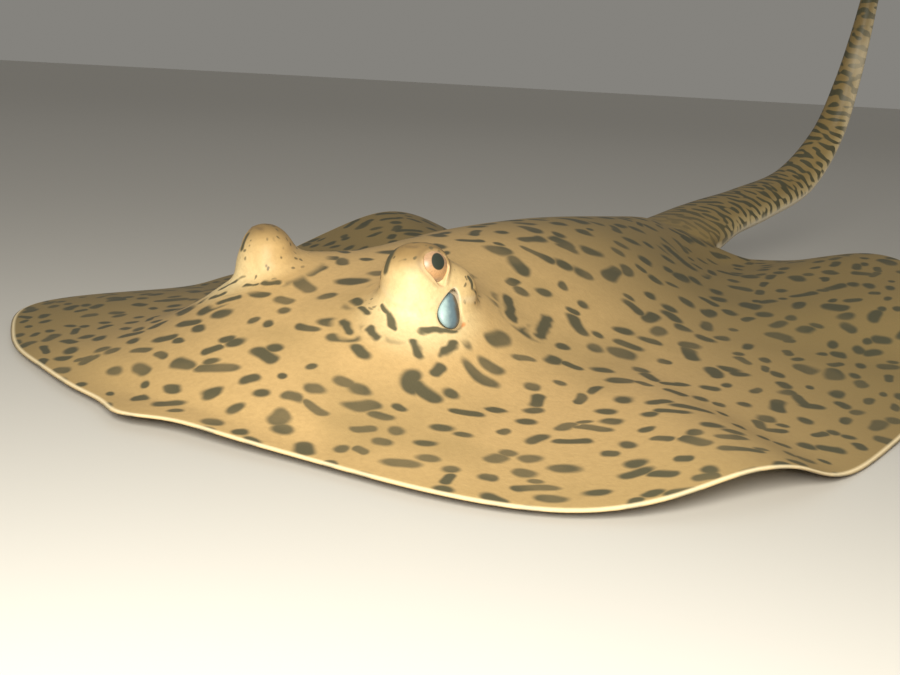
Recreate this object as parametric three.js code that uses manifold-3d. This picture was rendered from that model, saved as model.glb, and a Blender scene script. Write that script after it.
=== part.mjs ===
// A freshwater stingray, life size, lying on its belly with its tail raised.
// Millimetres, +Z up, the snout towards -Y and the animal's left side towards +X.
// The origin is on the floor, under the middle of the disc.
//
// The body is modelled whole (disc, eye knobs, tail), then parted by thin cuts into the
// lengths and fins that a person would name.

import * as THREE from "three";
import { mergeVertices } from "three/addons/utils/BufferGeometryUtils.js";
import Module from "manifold-3d";

// The disc: the body with both pectoral fins.
const DISC_HALF_WIDTH = 164;
const DISC_HALF_LENGTH = 174;
const DISC_SQUARENESS = 0.026;
const SNOUT_POINT = { reach: 5, spread: 4 };
const TAIL_NOTCH = { depth: 28, spread: 13 };
const RIM_THICKNESS = 2;
const FIN_ROOT_THICKNESS = 13;
const FIN_TAPER = 1.7;
const BELLY_FLAT_SHARE = 0.36;
const CURL_END_SHARE = 1.12;

// How far each stretch of the rim is lifted from the floor. Angles go from the snout (0)
// round by the animal's left (90).
const LIFTS = [
  { angle: 136, spread: 28, height: 28 },
  { angle: -124, spread: 15, height: 23 },
  { angle: 180, spread: 30, height: 9 },
  { angle: 53, spread: 8, height: 8 },
  { angle: 8, spread: 34, height: 3 },
  { angle: -48, spread: 20, height: 1 },
];
// Stretches where the rim is spread wider than the oval, or drawn in.
const REACHES = [
  { angle: 42, spread: 16, reach: 20 },
  { angle: 67, spread: 11, reach: 9 },
  { angle: 12, spread: 9, reach: 5 },
  { angle: -12, spread: 9, reach: 4 },
  { angle: -48, spread: 14, reach: 11 },
  { angle: -76, spread: 18, reach: -20 },
];
// The small waves of the margin, whose height is reached where the rim is lifted by fullLift.
const RIPPLE = { waves: 13, height: 1.2, reach: 1.6, fullLift: 6 };

// The raised middle of the body.
const BACK = { height: 41, topY: 30, tailRootY: 150, tailRootHeight: 36, brow: 2.6, slope: 1.1 };
const HALF_WIDTHS = { head: 50, trunk: 56, tailRoot: 27 };
const SHOULDER = { frontY: -60, rearY: 0 };
const DOME = { squareness: 2.3, fadeShare: 0.9 };

// Eyes with the knobs that carry them, and the spiracles below and behind.
const KNOB = { x: 33.8, y: -92.9, z: 30, rx: 10.2, ry: 12.3, rz: 17.3 };
const BROW = { x: 30.4, y: -95.8, z: 34.5, rx: 8, ry: 8, rz: 11.4 };
const LOBE = { x: 38.6, y: -82.5, z: 31.2, rx: 7.3, ry: 8.6, rz: 8.9 };
const CHEEK = { x: 36, y: -88, height: 9.5, spreadX: 19, spreadY: 26 };
const EYE = { x: 35.9, y: -92.9, z: 39.8, rx: 6.5, ry: 6.5, rz: 6.5 };
// The spiracle and its valve are turned: rx goes out of the cheek and rz along the slit.
const SPIRACLE_AXES = { out: [0.84, -0.106, 0.53], along: [-0.449, 0.414, 0.792] };
const SPIRACLE = { x: 43.9, y: -90.8, z: 28.3, rx: 4.2, ry: 4.8, rz: 8.2, axes: SPIRACLE_AXES };
const VALVE = { x: 42.1, y: -89.6, z: 28.5, rx: 2.5, ry: 4.5, rz: 8.2, axes: SPIRACLE_AXES };
// The right knob and all on it sit a little further in and lower.
const RIGHT_KNOB = { inward: 1.8, lower: 2.5 };

// Tail: stations of its middle line, with the width and height of its section at each.
const TAIL_LINE = [
  { at: [0, 98, 17], width: 44, height: 22 },
  { at: [0, 150, 22], width: 50, height: 25 },
  { at: [3, 186, 30], width: 41, height: 21 },
  { at: [10, 222, 37], width: 34, height: 20 },
  { at: [20, 262, 50], width: 26, height: 18.5 },
  { at: [28, 284, 76], width: 19, height: 15.5 },
  { at: [34, 288, 106], width: 14.5, height: 13 },
  { at: [38, 288, 132], width: 11.5, height: 11 },
  { at: [40, 292, 158], width: 9, height: 10 },
  { at: [41, 308, 186], width: 6.5, height: 10 },
  { at: [38, 336, 208], width: 5, height: 9.5 },
  { at: [30, 368, 220], width: 3.6, height: 7 },
  { at: [20, 398, 224], width: 2, height: 3 },
];
const TAIL_UNDERSIDE = 0.8;
const TAIL_STEPS = 40;
const TAIL_SIDES = 12;
const TAIL_PARTS = ["tail_base", "tail_middle", "tail_rear", "tail_tip"];
const TAIL_CUTS = [0.38, 0.6, 0.8];

// The sting grows from the top of the tail at one of its steps.
const STING = { step: 25, length: 44, width: 4.4, thickness: 1.8, shoulder: 0.55, sunk: 1.1, rise: -0.08 };
// The low swelling round the vent, and the pelvic fins that grow from its sides.
const PELVIS = { x: 0, y: 106, z: 10, rx: 42, ry: 43, rz: 9.6 };
const PELVIC = { x: 46, y: 143, z: 5.6, rx: 27, ry: 32, rz: 2.8, splay: 0.3 };

// Where the body is parted, in plan.
const CORE = { frontY: -136, capY: -80, neckY: -36, shoulderY: 0, halfWidth: 60, rearHalfWidth: 28 };
const CUT = 0.3;
const PLAN_REACH = 240;
const BELOW = -20;
const TALL = 300;

// Fineness of the solids.
const COLUMNS = 64;
const FRONT_CROWDING = 0.2;
const TOP_ROWS = 16;
const ROW_SPREAD = 0.9;
const UNDER_ROWS = 5;
const CAP_STEPS = 8;
const ELLIPSOID_FACETS = 14;
const BROAD_FACETS = 24;
const ROUGH_FACETS = 10;
const ROWS_PER_FACET = 0.6;
const WELD = 1e-3;

const wasm = await Module();
wasm.setup();

/** A hill of height 1 at its centre; angles are in degrees and wrap round. */
function hill(angle, centre, spread) {
  const apart = ((angle - centre + 900) % 360) - 180;
  return Math.exp(-((apart / spread) ** 2));
}

/** Distance from the disc's middle to its rim. */
function rimRadius(angle) {
  const turn = THREE.MathUtils.degToRad(angle);
  const oval = 1 / Math.hypot(Math.sin(turn) / DISC_HALF_WIDTH, Math.cos(turn) / DISC_HALF_LENGTH);
  let radius = oval * (1 - DISC_SQUARENESS * Math.cos(4 * turn));
  radius += SNOUT_POINT.reach * hill(angle, 0, SNOUT_POINT.spread);
  radius -= TAIL_NOTCH.depth * hill(angle, 180, TAIL_NOTCH.spread);
  for (const part of REACHES) {
    radius += part.reach * hill(angle, part.angle, part.spread);
  }
  return radius + RIPPLE.reach * Math.cos(RIPPLE.waves * turn);
}

/** Height of the rim's underside over the floor. */
function rimLift(angle) {
  const turn = THREE.MathUtils.degToRad(angle);
  let lift = 0;
  for (const part of LIFTS) {
    lift += part.height * hill(angle, part.angle, part.spread);
  }
  const ripple = RIPPLE.height * (1 + Math.sin(RIPPLE.waves * turn));
  return lift + ripple * THREE.MathUtils.smoothstep(lift, 0, RIPPLE.fullLift);
}

/** Underside of the disc: flat on the floor in the middle, curling up to the rim. */
function underside(angle, share) {
  const curl = (value) => THREE.MathUtils.smoothstep(value, BELLY_FLAT_SHARE, CURL_END_SHARE);
  return rimLift(angle) * curl(share) / curl(1);
}

/** Height of the back along the body's middle line. */
function backHeight(y) {
  if (y > BACK.topY) {
    const behind = THREE.MathUtils.smoothstep(y, BACK.topY, BACK.tailRootY);
    return THREE.MathUtils.lerp(BACK.height, BACK.tailRootHeight, behind);
  }
  const ahead = Math.min(1, (BACK.topY - y) / (BACK.topY + DISC_HALF_LENGTH));
  return THREE.MathUtils.lerp(RIM_THICKNESS, BACK.height, (1 - ahead ** BACK.brow) ** BACK.slope);
}

/** Half width of the raised body at a place along it. */
function bodyHalfWidth(y) {
  const front = THREE.MathUtils.smoothstep(y, SHOULDER.frontY, SHOULDER.rearY);
  const rear = THREE.MathUtils.smoothstep(y, BACK.topY, BACK.tailRootY);
  const trunk = THREE.MathUtils.lerp(HALF_WIDTHS.head, HALF_WIDTHS.trunk, front);
  return THREE.MathUtils.lerp(trunk, HALF_WIDTHS.tailRoot, rear);
}

/** The swelling of the two cheeks under the eyes. */
function cheekHeight(x, y) {
  const across = (Math.abs(x) - CHEEK.x) / CHEEK.spreadX;
  const along = (y - CHEEK.y) / CHEEK.spreadY;
  return CHEEK.height * Math.exp(-(across ** 2) - along ** 2);
}

/** Top of the disc at a place given by its angle and its share of the way to the rim. */
function topside(angle, share, x, y) {
  const under = underside(angle, share);
  const fin = THREE.MathUtils.lerp(FIN_ROOT_THICKNESS, RIM_THICKNESS, share ** FIN_TAPER);
  const raised = Math.max(0, backHeight(y) - under - fin);
  const across = Math.exp(-((Math.abs(x) / bodyHalfWidth(y)) ** DOME.squareness));
  const dome = raised * across * (1 - THREE.MathUtils.smoothstep(share, DOME.fadeShare, 1));
  return under + fin + dome + cheekHeight(x, y);
}

/** A closed geometry as a manifold solid, turned right side out if need be. */
function toSolid(geometry) {
  geometry.deleteAttribute("normal");
  geometry.deleteAttribute("uv");
  const merged = mergeVertices(geometry, WELD);
  const vertProperties = Float32Array.from(merged.attributes.position.array);
  const triVerts = Uint32Array.from(merged.index.array);
  const corner = (k) => new THREE.Vector3().fromArray(vertProperties, 3 * triVerts[k]);
  let volume = 0;
  for (let k = 0; k < triVerts.length; k += 3) {
    volume += corner(k).dot(corner(k + 1).cross(corner(k + 2)));
  }
  if (volume < 0) {
    triVerts.reverse();
  }
  return new wasm.Manifold(new wasm.Mesh({ numProp: 3, vertProperties, triVerts }));
}

/** Adds a manifold solid to the group as a named mesh. */
function addPart(group, name, solid, material) {
  const { vertProperties, triVerts } = solid.getMesh();
  const geometry = new THREE.BufferGeometry();
  geometry.setAttribute("position", new THREE.BufferAttribute(vertProperties, 3));
  geometry.setIndex(new THREE.BufferAttribute(triVerts, 1));
  geometry.computeVertexNormals();
  const mesh = new THREE.Mesh(geometry, material);
  mesh.name = name;
  group.add(mesh);
}

/** The disc: a sphere's rows become rings of the top, the rim and the underside. */
function makeDisc() {
  const rows = TOP_ROWS + UNDER_ROWS;
  const geometry = new THREE.SphereGeometry(1, COLUMNS, rows);
  const places = geometry.attributes.position;
  for (let index = 0; index < places.count; index += 1) {
    const row = Math.floor(index / (COLUMNS + 1));
    const column = (index % (COLUMNS + 1)) % COLUMNS;
    const even = (column / COLUMNS) * 2 * Math.PI;
    const turn = even - FRONT_CROWDING * Math.sin(even);
    const angle = THREE.MathUtils.radToDeg(turn);
    const onTop = row < TOP_ROWS;
    const topShare = Math.sin((row / TOP_ROWS) * Math.PI / 2) ** ROW_SPREAD;
    const share = onTop ? topShare : (rows - row) / UNDER_ROWS;
    const radius = rimRadius(angle) * share;
    const x = radius * Math.sin(turn);
    const y = -radius * Math.cos(turn);
    let z = onTop ? topside(angle, share, x, y) : underside(angle, share);
    if (row === TOP_ROWS) {
      z += RIM_THICKNESS / 2;
    }
    places.setXYZ(index, x, y, z);
  }
  return toSolid(geometry);
}

/** The turn that lays X and Z along two directions given for the left side. */
function turnOf(axes, side) {
  const mirrored = ([x, y, z]) => new THREE.Vector3(x * side, y, z).normalize();
  const out = mirrored(axes.out);
  const along = mirrored(axes.along);
  along.addScaledVector(out, -along.dot(out)).normalize();
  return new THREE.Matrix4().makeBasis(out, new THREE.Vector3().crossVectors(along, out), along);
}

/** A shape of the left knob, moved to where the right knob carries it. */
function onKnob(shape, side) {
  return side > 0 ? shape : { ...shape, x: shape.x - RIGHT_KNOB.inward, z: shape.z - RIGHT_KNOB.lower };
}

/** An ellipsoid on one side of the body; side is 1 for the left and -1 for the right. */
function makeEllipsoid(shape, side, { grow = 0, facets = ELLIPSOID_FACETS } = {}) {
  const geometry = new THREE.SphereGeometry(1, facets, Math.round(facets * ROWS_PER_FACET));
  geometry.rotateX(Math.PI / 2);
  geometry.scale(shape.rx + grow, shape.ry + grow, shape.rz + grow);
  if (shape.axes) {
    geometry.applyMatrix4(turnOf(shape.axes, side));
  }
  geometry.rotateZ(-(shape.splay ?? 0) * side);
  geometry.translate(shape.x * side, shape.y, shape.z);
  return toSolid(geometry);
}

/** The tail's middle line, with a frame carried along it that never twists. */
function makeTailFrames() {
  const stations = TAIL_LINE.map((station) => new THREE.Vector3(...station.at));
  const line = new THREE.CatmullRomCurve3(stations, false, "centripetal");
  const side = new THREE.Vector3(1, 0, 0);
  const last = TAIL_LINE.length - 1;
  const frames = [];
  for (let step = 0; step <= TAIL_STEPS; step += 1) {
    const along = (step / TAIL_STEPS) * last;
    const low = Math.min(last - 1, Math.floor(along));
    const [here, next] = [TAIL_LINE[low], TAIL_LINE[low + 1]];
    const between = (key) => THREE.MathUtils.lerp(here[key], next[key], along - low);
    const forward = line.getTangent(along / last);
    side.addScaledVector(forward, -side.dot(forward)).normalize();
    frames.push({
      at: line.getPoint(along / last),
      forward,
      side: side.clone(),
      up: new THREE.Vector3().crossVectors(side, forward),
      width: between("width"),
      height: between("height"),
    });
  }
  return frames;
}

/** The tail: a cylinder whose rings are laid along the frames, flatter underneath. */
function makeTail(frames, grow = 0) {
  const geometry = new THREE.CylinderGeometry(1, 1, 1, TAIL_SIDES, TAIL_STEPS);
  const places = geometry.attributes.position;
  for (let index = 0; index < places.count; index += 1) {
    const frame = frames[Math.round((0.5 - places.getY(index)) * TAIL_STEPS)];
    const across = places.getX(index) * (frame.width / 2 + grow);
    const level = places.getZ(index);
    const rise = level * (frame.height / 2 * (level < 0 ? TAIL_UNDERSIDE : 1) + grow);
    const point = frame.at.clone();
    point.addScaledVector(frame.side, across).addScaledVector(frame.up, rise);
    places.setXYZ(index, point.x, point.y, point.z);
  }
  return toSolid(geometry);
}

/** The flat barbed spine, its root sunk in the top of the tail and its point free. */
function makeSting(frames, grow = 0) {
  const frame = frames[STING.step];
  const half = STING.width / 2 + grow;
  const outline = new THREE.Shape();
  outline.moveTo(-half, -grow);
  outline.lineTo(-half, STING.length * STING.shoulder);
  outline.lineTo(-grow / 2, STING.length + grow);
  outline.lineTo(grow / 2, STING.length + grow);
  outline.lineTo(half, STING.length * STING.shoulder);
  outline.lineTo(half, -grow);
  outline.closePath();
  const depth = STING.thickness + 2 * grow;
  const geometry = new THREE.ExtrudeGeometry(outline, { depth, bevelEnabled: false });
  geometry.translate(0, 0, -grow);
  geometry.rotateX(STING.rise);
  geometry.applyMatrix4(new THREE.Matrix4().makeBasis(frame.side, frame.forward, frame.up));
  const foot = frame.at.clone().addScaledVector(frame.up, frame.height / 2 - STING.sunk);
  geometry.translate(foot.x, foot.y, foot.z);
  return toSolid(geometry);
}

/** An upright prism, tall enough to hold any part of the animal, over a plan outline. */
function makePrism(points) {
  const outline = new THREE.Shape(points);
  const geometry = new THREE.ExtrudeGeometry(outline, { depth: TALL, bevelEnabled: false });
  geometry.translate(0, 0, BELOW);
  return toSolid(geometry);
}

/** The left side of the head and trunk in plan, from the front round to the tail root. */
function coreSide() {
  const points = [];
  for (let step = 0; step <= CAP_STEPS; step += 1) {
    const turn = (step / CAP_STEPS) * Math.PI / 2;
    const y = CORE.capY - (CORE.capY - CORE.frontY) * Math.cos(turn);
    points.push(new THREE.Vector2(CORE.halfWidth * Math.sin(turn), y));
  }
  for (let step = 0; step <= CAP_STEPS; step += 1) {
    const y = THREE.MathUtils.lerp(CORE.shoulderY, BACK.tailRootY, step / CAP_STEPS);
    const taper = THREE.MathUtils.smoothstep(y, CORE.shoulderY, BACK.tailRootY);
    points.push(new THREE.Vector2(THREE.MathUtils.lerp(CORE.halfWidth, CORE.rearHalfWidth, taper), y));
  }
  return points;
}

/** The upright prism of the head and trunk, swollen outwards by grow. */
function makeCore(grow = 0) {
  const side = coreSide();
  const last = side.length - 1;
  const left = side.map((point, index) => {
    const run = side[Math.min(last, index + 1)].clone().sub(side[Math.max(0, index - 1)]).normalize();
    return new THREE.Vector2(point.x + run.y * grow, point.y - run.x * grow);
  });
  left[0].set(0, CORE.frontY - grow);
  left.push(new THREE.Vector2(CORE.rearHalfWidth + grow, BACK.tailRootY + grow + CUT / 2));
  const right = left.slice(1).reverse().map((point) => new THREE.Vector2(-point.x, point.y));
  return makePrism([...left, ...right]);
}

/** Everything on one side of the body's middle plane. */
function makeSide(side) {
  const near = side * CUT / 2;
  const far = side * PLAN_REACH;
  return makePrism([
    new THREE.Vector2(near, -PLAN_REACH),
    new THREE.Vector2(far, -PLAN_REACH),
    new THREE.Vector2(far, PLAN_REACH),
    new THREE.Vector2(near, PLAN_REACH),
  ]);
}

/** The part of a tail solid between two of its frames; a missing frame leaves that end. */
function cutTail(solid, start, end) {
  let piece = solid;
  if (start) {
    piece = piece.trimByPlane(start.forward.toArray(), start.at.dot(start.forward) + CUT / 2);
  }
  if (end) {
    piece = piece.trimByPlane(end.forward.clone().negate().toArray(), -end.at.dot(end.forward) + CUT / 2);
  }
  return piece;
}

const SIDES = [["left", 1], ["right", -1]];
const frames = makeTailFrames();

const skin = new THREE.MeshStandardMaterial({ color: 0xc8a56e, roughness: 0.45, metalness: 0 });
const tailSkin = new THREE.MeshStandardMaterial({ color: 0x9a8560, roughness: 0.5, metalness: 0 });
const eyeBall = new THREE.MeshStandardMaterial({ color: 0x2b3230, roughness: 0.08, metalness: 0 });
const valveSkin = new THREE.MeshStandardMaterial({ color: 0x9fb4c8, roughness: 0.35, metalness: 0 });
const horn = new THREE.MeshStandardMaterial({ color: 0xd8cba6, roughness: 0.4, metalness: 0 });

// The whole body, with its hollows.
let body = makeDisc().add(makeTail(frames)).add(makeEllipsoid(PELVIS, 1, { facets: BROAD_FACETS }));
for (const [, side] of SIDES) {
  for (const [swelling, facets] of [[KNOB, ELLIPSOID_FACETS], [BROW, ROUGH_FACETS], [LOBE, ROUGH_FACETS]]) {
    body = body.add(makeEllipsoid(onKnob(swelling, side), side, { facets }));
  }
  body = body.subtract(makeEllipsoid(onKnob(SPIRACLE, side), side, { facets: ROUGH_FACETS }));
  body = body.subtract(makeEllipsoid(onKnob(EYE, side), side, { grow: CUT }));
  body = body.subtract(makeEllipsoid(onKnob(VALVE, side), side, { grow: CUT, facets: ROUGH_FACETS }));
}
body = body.trimByPlane([0, 0, 1], 0);

// The parts.
const group = new THREE.Group();
const core = body.intersect(makeCore()).trimByPlane([0, -1, 0], -BACK.tailRootY);
addPart(group, "head", core.trimByPlane([0, -1, 0], CUT / 2 - CORE.neckY), skin);
addPart(group, "trunk", core.trimByPlane([0, 1, 0], CUT / 2 + CORE.neckY), skin);

const wholeTail = makeTail(frames).subtract(makeSting(frames, CUT));
const tail = wholeTail.trimByPlane([0, 1, 0], BACK.tailRootY + CUT);
TAIL_PARTS.forEach((name, index) => {
  const start = index > 0 ? frames[Math.round(TAIL_CUTS[index - 1] * TAIL_STEPS)] : null;
  const end = index < TAIL_CUTS.length ? frames[Math.round(TAIL_CUTS[index] * TAIL_STEPS)] : null;
  addPart(group, name, cutTail(tail, start, end), tailSkin);
});

const middle = makeCore(CUT).add(makeTail(frames, CUT));
for (const [word, side] of SIDES) {
  const pelvicPocket = makeEllipsoid(PELVIC, side, { grow: CUT });
  const pectoral = body.intersect(makeSide(side)).subtract(middle).subtract(pelvicPocket);
  addPart(group, `pectoral_fin_${word}`, pectoral, skin);
  addPart(group, `pelvic_fin_${word}`, makeEllipsoid(PELVIC, side).subtract(middle), skin);
  addPart(group, `eye_${word}`, makeEllipsoid(onKnob(EYE, side), side), eyeBall);
  const valve = makeEllipsoid(onKnob(VALVE, side), side, { facets: ROUGH_FACETS });
  addPart(group, `spiracle_valve_${word}`, valve, valveSkin);
}
addPart(group, "sting", makeSting(frames), horn);

export default group;
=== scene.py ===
"""Freshwater stingray: a still, life-size display model, modelled and dressed for rendering.

The fleshy parts of the frame are replaced by one continuous skin. The eyes, the spiracle valves and the
sting are pieces of their own. Lengths in this file are millimetres in the frame's axes unless a name
says otherwise: the snout points along -Y, +X is the animal's left, and the floor is at Z = 0.
"""

import logging
import math
from collections.abc import Callable
from dataclasses import dataclass, field
from enum import Enum

import bmesh
import bpy
import numpy as np
from mathutils import Matrix, Vector


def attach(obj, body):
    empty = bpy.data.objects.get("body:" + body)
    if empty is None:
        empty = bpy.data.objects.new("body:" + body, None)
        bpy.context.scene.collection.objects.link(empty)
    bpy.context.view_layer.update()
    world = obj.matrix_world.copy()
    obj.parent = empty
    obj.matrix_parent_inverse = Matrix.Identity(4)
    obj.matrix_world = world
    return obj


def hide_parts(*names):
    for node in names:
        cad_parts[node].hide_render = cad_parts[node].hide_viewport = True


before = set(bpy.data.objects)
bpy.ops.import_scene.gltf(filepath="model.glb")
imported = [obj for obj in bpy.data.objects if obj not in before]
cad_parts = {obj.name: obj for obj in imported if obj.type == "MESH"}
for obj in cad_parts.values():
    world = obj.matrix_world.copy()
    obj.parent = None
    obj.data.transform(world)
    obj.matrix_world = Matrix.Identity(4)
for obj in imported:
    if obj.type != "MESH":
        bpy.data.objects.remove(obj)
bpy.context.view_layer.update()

LOG = logging.getLogger("stingray")
MM = 0.001
Triple = tuple[float, float, float]
Blob = tuple[Triple, Triple]
DistanceField = Callable[[np.ndarray], np.ndarray]
Socket = bpy.types.NodeSocket
Feed = Socket | float | tuple[float, ...] | None


class Side(Enum):
    """A side of the animal, with the sign of its X."""

    LEFT = 1
    RIGHT = -1

    @property
    def label(self) -> str:
        """Return the ending of this side's node names."""
        return self.name.lower()


class Slot(Enum):
    """The record's material slots."""

    SKIN = "skin"
    EYE = "eye"
    VALVE = "spiracle_valve"
    STING = "sting"


def smooth(value: np.ndarray, low: float, high: float) -> np.ndarray:
    """Return the smooth step of a value between two limits, 0 below and 1 above."""
    t = np.clip((value - low) / (high - low), 0.0, 1.0)
    return t * t * (3.0 - 2.0 * t)


def blend(a: np.ndarray | float, b: np.ndarray | float, t: np.ndarray | float) -> np.ndarray:
    """Return the mix of two values: a at 0 and b at 1."""
    return a + (b - a) * t


def hill(angle: np.ndarray, centre: float, spread: float) -> np.ndarray:
    """Return a bell round an angle in degrees, 1 at its centre."""
    turn = (angle - centre + 180.0) % 360.0 - 180.0
    return np.exp(-((turn / spread) ** 2))


def join_soft(a: np.ndarray, b: np.ndarray, reach: np.ndarray | float) -> np.ndarray:
    """Return the union of two distance fields, rounded over a reach."""
    near = np.maximum(reach - np.abs(a - b), 0.0) / reach
    return np.minimum(a, b) - near * near * reach * 0.25


def cut_soft(a: np.ndarray, b: np.ndarray, reach: float) -> np.ndarray:
    """Return field a with the inside of field b taken away, rounded over a reach."""
    return -join_soft(-a, b, reach)


def axes_of(out: Triple, long: Triple) -> np.ndarray:
    """Find the axes of a turned shape.

    Args:
        out: Its outward direction.
        long: About its long direction.

    Returns:
        The rows outward, across and long, square to each other.
    """
    first = np.array(out) / np.linalg.norm(out)
    third = np.array(long) - first * (first @ np.array(long))
    third /= np.linalg.norm(third)
    return np.stack([first, np.cross(third, first), third])


def ellipsoid(points: np.ndarray, centre: Triple, radii: Triple) -> np.ndarray:
    """Return the distance to an ellipsoid.

    Args:
        points: Places, one row each.
        centre: The ellipsoid's middle.
        radii: Its half sizes.

    Returns:
        The distance of each point, negative inside.
    """
    p, r = points - np.array(centre), np.array(radii)
    k0 = np.linalg.norm(p / r, axis=1)
    k1 = np.linalg.norm(p / (r * r), axis=1)
    return k0 * (k0 - 1.0) / np.maximum(k1, 1e-6)


def line_distance(points: np.ndarray, path: tuple[Triple, ...]) -> np.ndarray:
    """Return the distance to a broken line.

    Args:
        points: Places, one row each.
        path: The line's corners.

    Returns:
        The distance of each point.
    """
    best = np.full(len(points), np.inf)
    for start, end in zip(path, path[1:]):
        a, b = np.array(start), np.array(end)
        along = b - a
        t = np.clip(((points - a) @ along) / (along @ along), 0.0, 1.0)
        best = np.minimum(best, np.linalg.norm(points - a - t[:, None] * along, axis=1))
    return best


@dataclass(frozen=True)
class DiscForm:
    """The disc: outline, lifted margin, domed back and flat belly.

    Angles are in degrees from the snout, growing towards the animal's left. Each row of lifts and
    reaches is a bell on the margin: the angle of its middle, its spread in degrees and its size.
    """

    half_width: float = 164.0
    half_length: float = 174.0
    squareness: float = 0.026
    snout: tuple[float, float] = (5.0, 4.0)
    notch: tuple[float, float] = (28.0, 13.0)
    rim: float = 0.9
    root: float = 13.0
    taper: float = 1.7
    flat: float = 0.36
    curl: float = 1.12
    lifts: tuple[Triple, ...] = (
        (136, 28, 28), (-124, 15, 23), (180, 30, 9), (53, 8, 8), (8, 34, 3), (-48, 20, 1),
    )
    reaches: tuple[Triple, ...] = (
        (42, 16, 20), (67, 11, 9), (12, 9, 5), (-12, 9, 4), (-48, 14, 11), (-76, 18, -20),
    )
    waves: int = 13
    wave_height: float = 1.2
    wave_reach: float = 1.6
    wave_full_lift: float = 6.0
    pelvis: Blob = ((0.0, 106.0, 10.0), (42.0, 43.0, 9.6))
    pelvis_join: float = 4.0
    pelvis_clear: float = 20.0
    inset: float = 0.35
    shoulder_y: float = 30.0
    hip_y: float = 150.0
    brow_run: float = 204.0
    brow_powers: tuple[float, float] = (2.6, 1.1)
    snout_height: float = 2.0
    shoulder_height: float = 41.0
    hip_height: float = 36.0
    head_half_width: float = 50.0
    head_y: float = -60.0
    shoulder_half_width: float = 56.0
    hip_half_width: float = 27.0
    dome_power: float = 2.3
    dome_share: float = 0.9
    cheek_at: tuple[float, float] = (36.0, -88.0)
    cheek_spread: tuple[float, float] = (19.0, 26.0)
    cheek_height: float = 9.5

    def radius(self, angle: np.ndarray) -> np.ndarray:
        """Return the distance from the centre to the margin.

        Args:
            angle: The angle from the snout, in degrees.

        Returns:
            The margin's distance at each angle.
        """
        t = np.radians(angle)
        oval = 1.0 / np.hypot(np.sin(t) / self.half_width, np.cos(t) / self.half_length)
        reach = oval * (1.0 - self.squareness * np.cos(4.0 * t))
        reach = reach + self.snout[0] * hill(angle, 0.0, self.snout[1])
        reach = reach - self.notch[0] * hill(angle, 180.0, self.notch[1])
        for centre, spread, out in self.reaches:
            reach = reach + out * hill(angle, centre, spread)
        return reach + self.wave_reach * np.cos(self.waves * t) - self.inset

    def lift(self, angle: np.ndarray) -> np.ndarray:
        """Return the height of the margin's lower edge at an angle in degrees."""
        total = sum(height * hill(angle, centre, spread) for centre, spread, height in self.lifts)
        wave = self.wave_height * (1.0 + np.sin(self.waves * np.radians(angle)))
        return total + wave * smooth(total, 0.0, self.wave_full_lift)

    def plan(self, x: np.ndarray, y: np.ndarray) -> tuple[np.ndarray, np.ndarray]:
        """Return the angle from the snout and the share of the way to the margin."""
        angle = np.degrees(np.arctan2(x, -y))
        return angle, np.hypot(x, y) / self.radius(angle)

    def belly(self, x: np.ndarray, y: np.ndarray) -> np.ndarray:
        """Return the height of the underside without the swelling at the pelvis."""
        angle, share = self.plan(x, y)
        rise = smooth(share, self.flat, self.curl) / smooth(np.array(1.0), self.flat, self.curl)
        return self.lift(angle) * rise

    def underside(self, x: np.ndarray, y: np.ndarray) -> np.ndarray:
        """Return the height of the underside.

        Args:
            x: Places across the disc.
            y: Places along the disc.

        Returns:
            The height at each place, with the swelling at the pelvis, never below the floor.
        """
        low = self.belly(x, y)
        (cx, cy, cz), (rx, ry, rz) = self.pelvis
        inside = 1.0 - ((x - cx) / rx) ** 2 - ((y - cy) / ry) ** 2
        swell = cz - rz * np.sqrt(np.maximum(inside, 0.0))
        swell = np.where(inside > 0.0, swell, cz + self.pelvis_clear)
        return np.maximum(join_soft(low, swell, self.pelvis_join), 0.0)

    def back(self, y: np.ndarray) -> np.ndarray:
        """Return the height of the back's middle line."""
        first, second = self.brow_powers
        ahead = np.clip((self.shoulder_y - y) / self.brow_run, 0.0, 1.0)
        front = blend(self.snout_height, self.shoulder_height, (1.0 - ahead ** first) ** second)
        rear = blend(self.shoulder_height, self.hip_height, smooth(y, self.shoulder_y, self.hip_y))
        return np.where(y > self.shoulder_y, rear, front)

    def body_half_width(self, y: np.ndarray) -> np.ndarray:
        """Return the half width of the raised body."""
        front = blend(self.head_half_width, self.shoulder_half_width, smooth(y, self.head_y, 0.0))
        return blend(front, self.hip_half_width, smooth(y, self.shoulder_y, self.hip_y))

    def topside(self, x: np.ndarray, y: np.ndarray) -> np.ndarray:
        """Return the height of the upper side without the knobs.

        Args:
            x: Places across the disc.
            y: Places along the disc.

        Returns:
            The height at each place: the fins, the dome of the body and the swellings of the cheeks.
        """
        _, share = self.plan(x, y)
        low = self.belly(x, y)
        fin = blend(self.root, self.rim, np.clip(share, 0.0, 1.0) ** self.taper)
        rise = np.maximum(self.back(y) - low - fin, 0.0)
        narrow = np.exp(-(np.abs(x) / self.body_half_width(y)) ** self.dome_power)
        dome = rise * narrow * (1.0 - smooth(share, self.dome_share, 1.0))
        aside = ((np.abs(x) - self.cheek_at[0]) / self.cheek_spread[0]) ** 2
        astern = ((y - self.cheek_at[1]) / self.cheek_spread[1]) ** 2
        return low + fin + dome + self.cheek_height * np.exp(-aside - astern)


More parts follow.
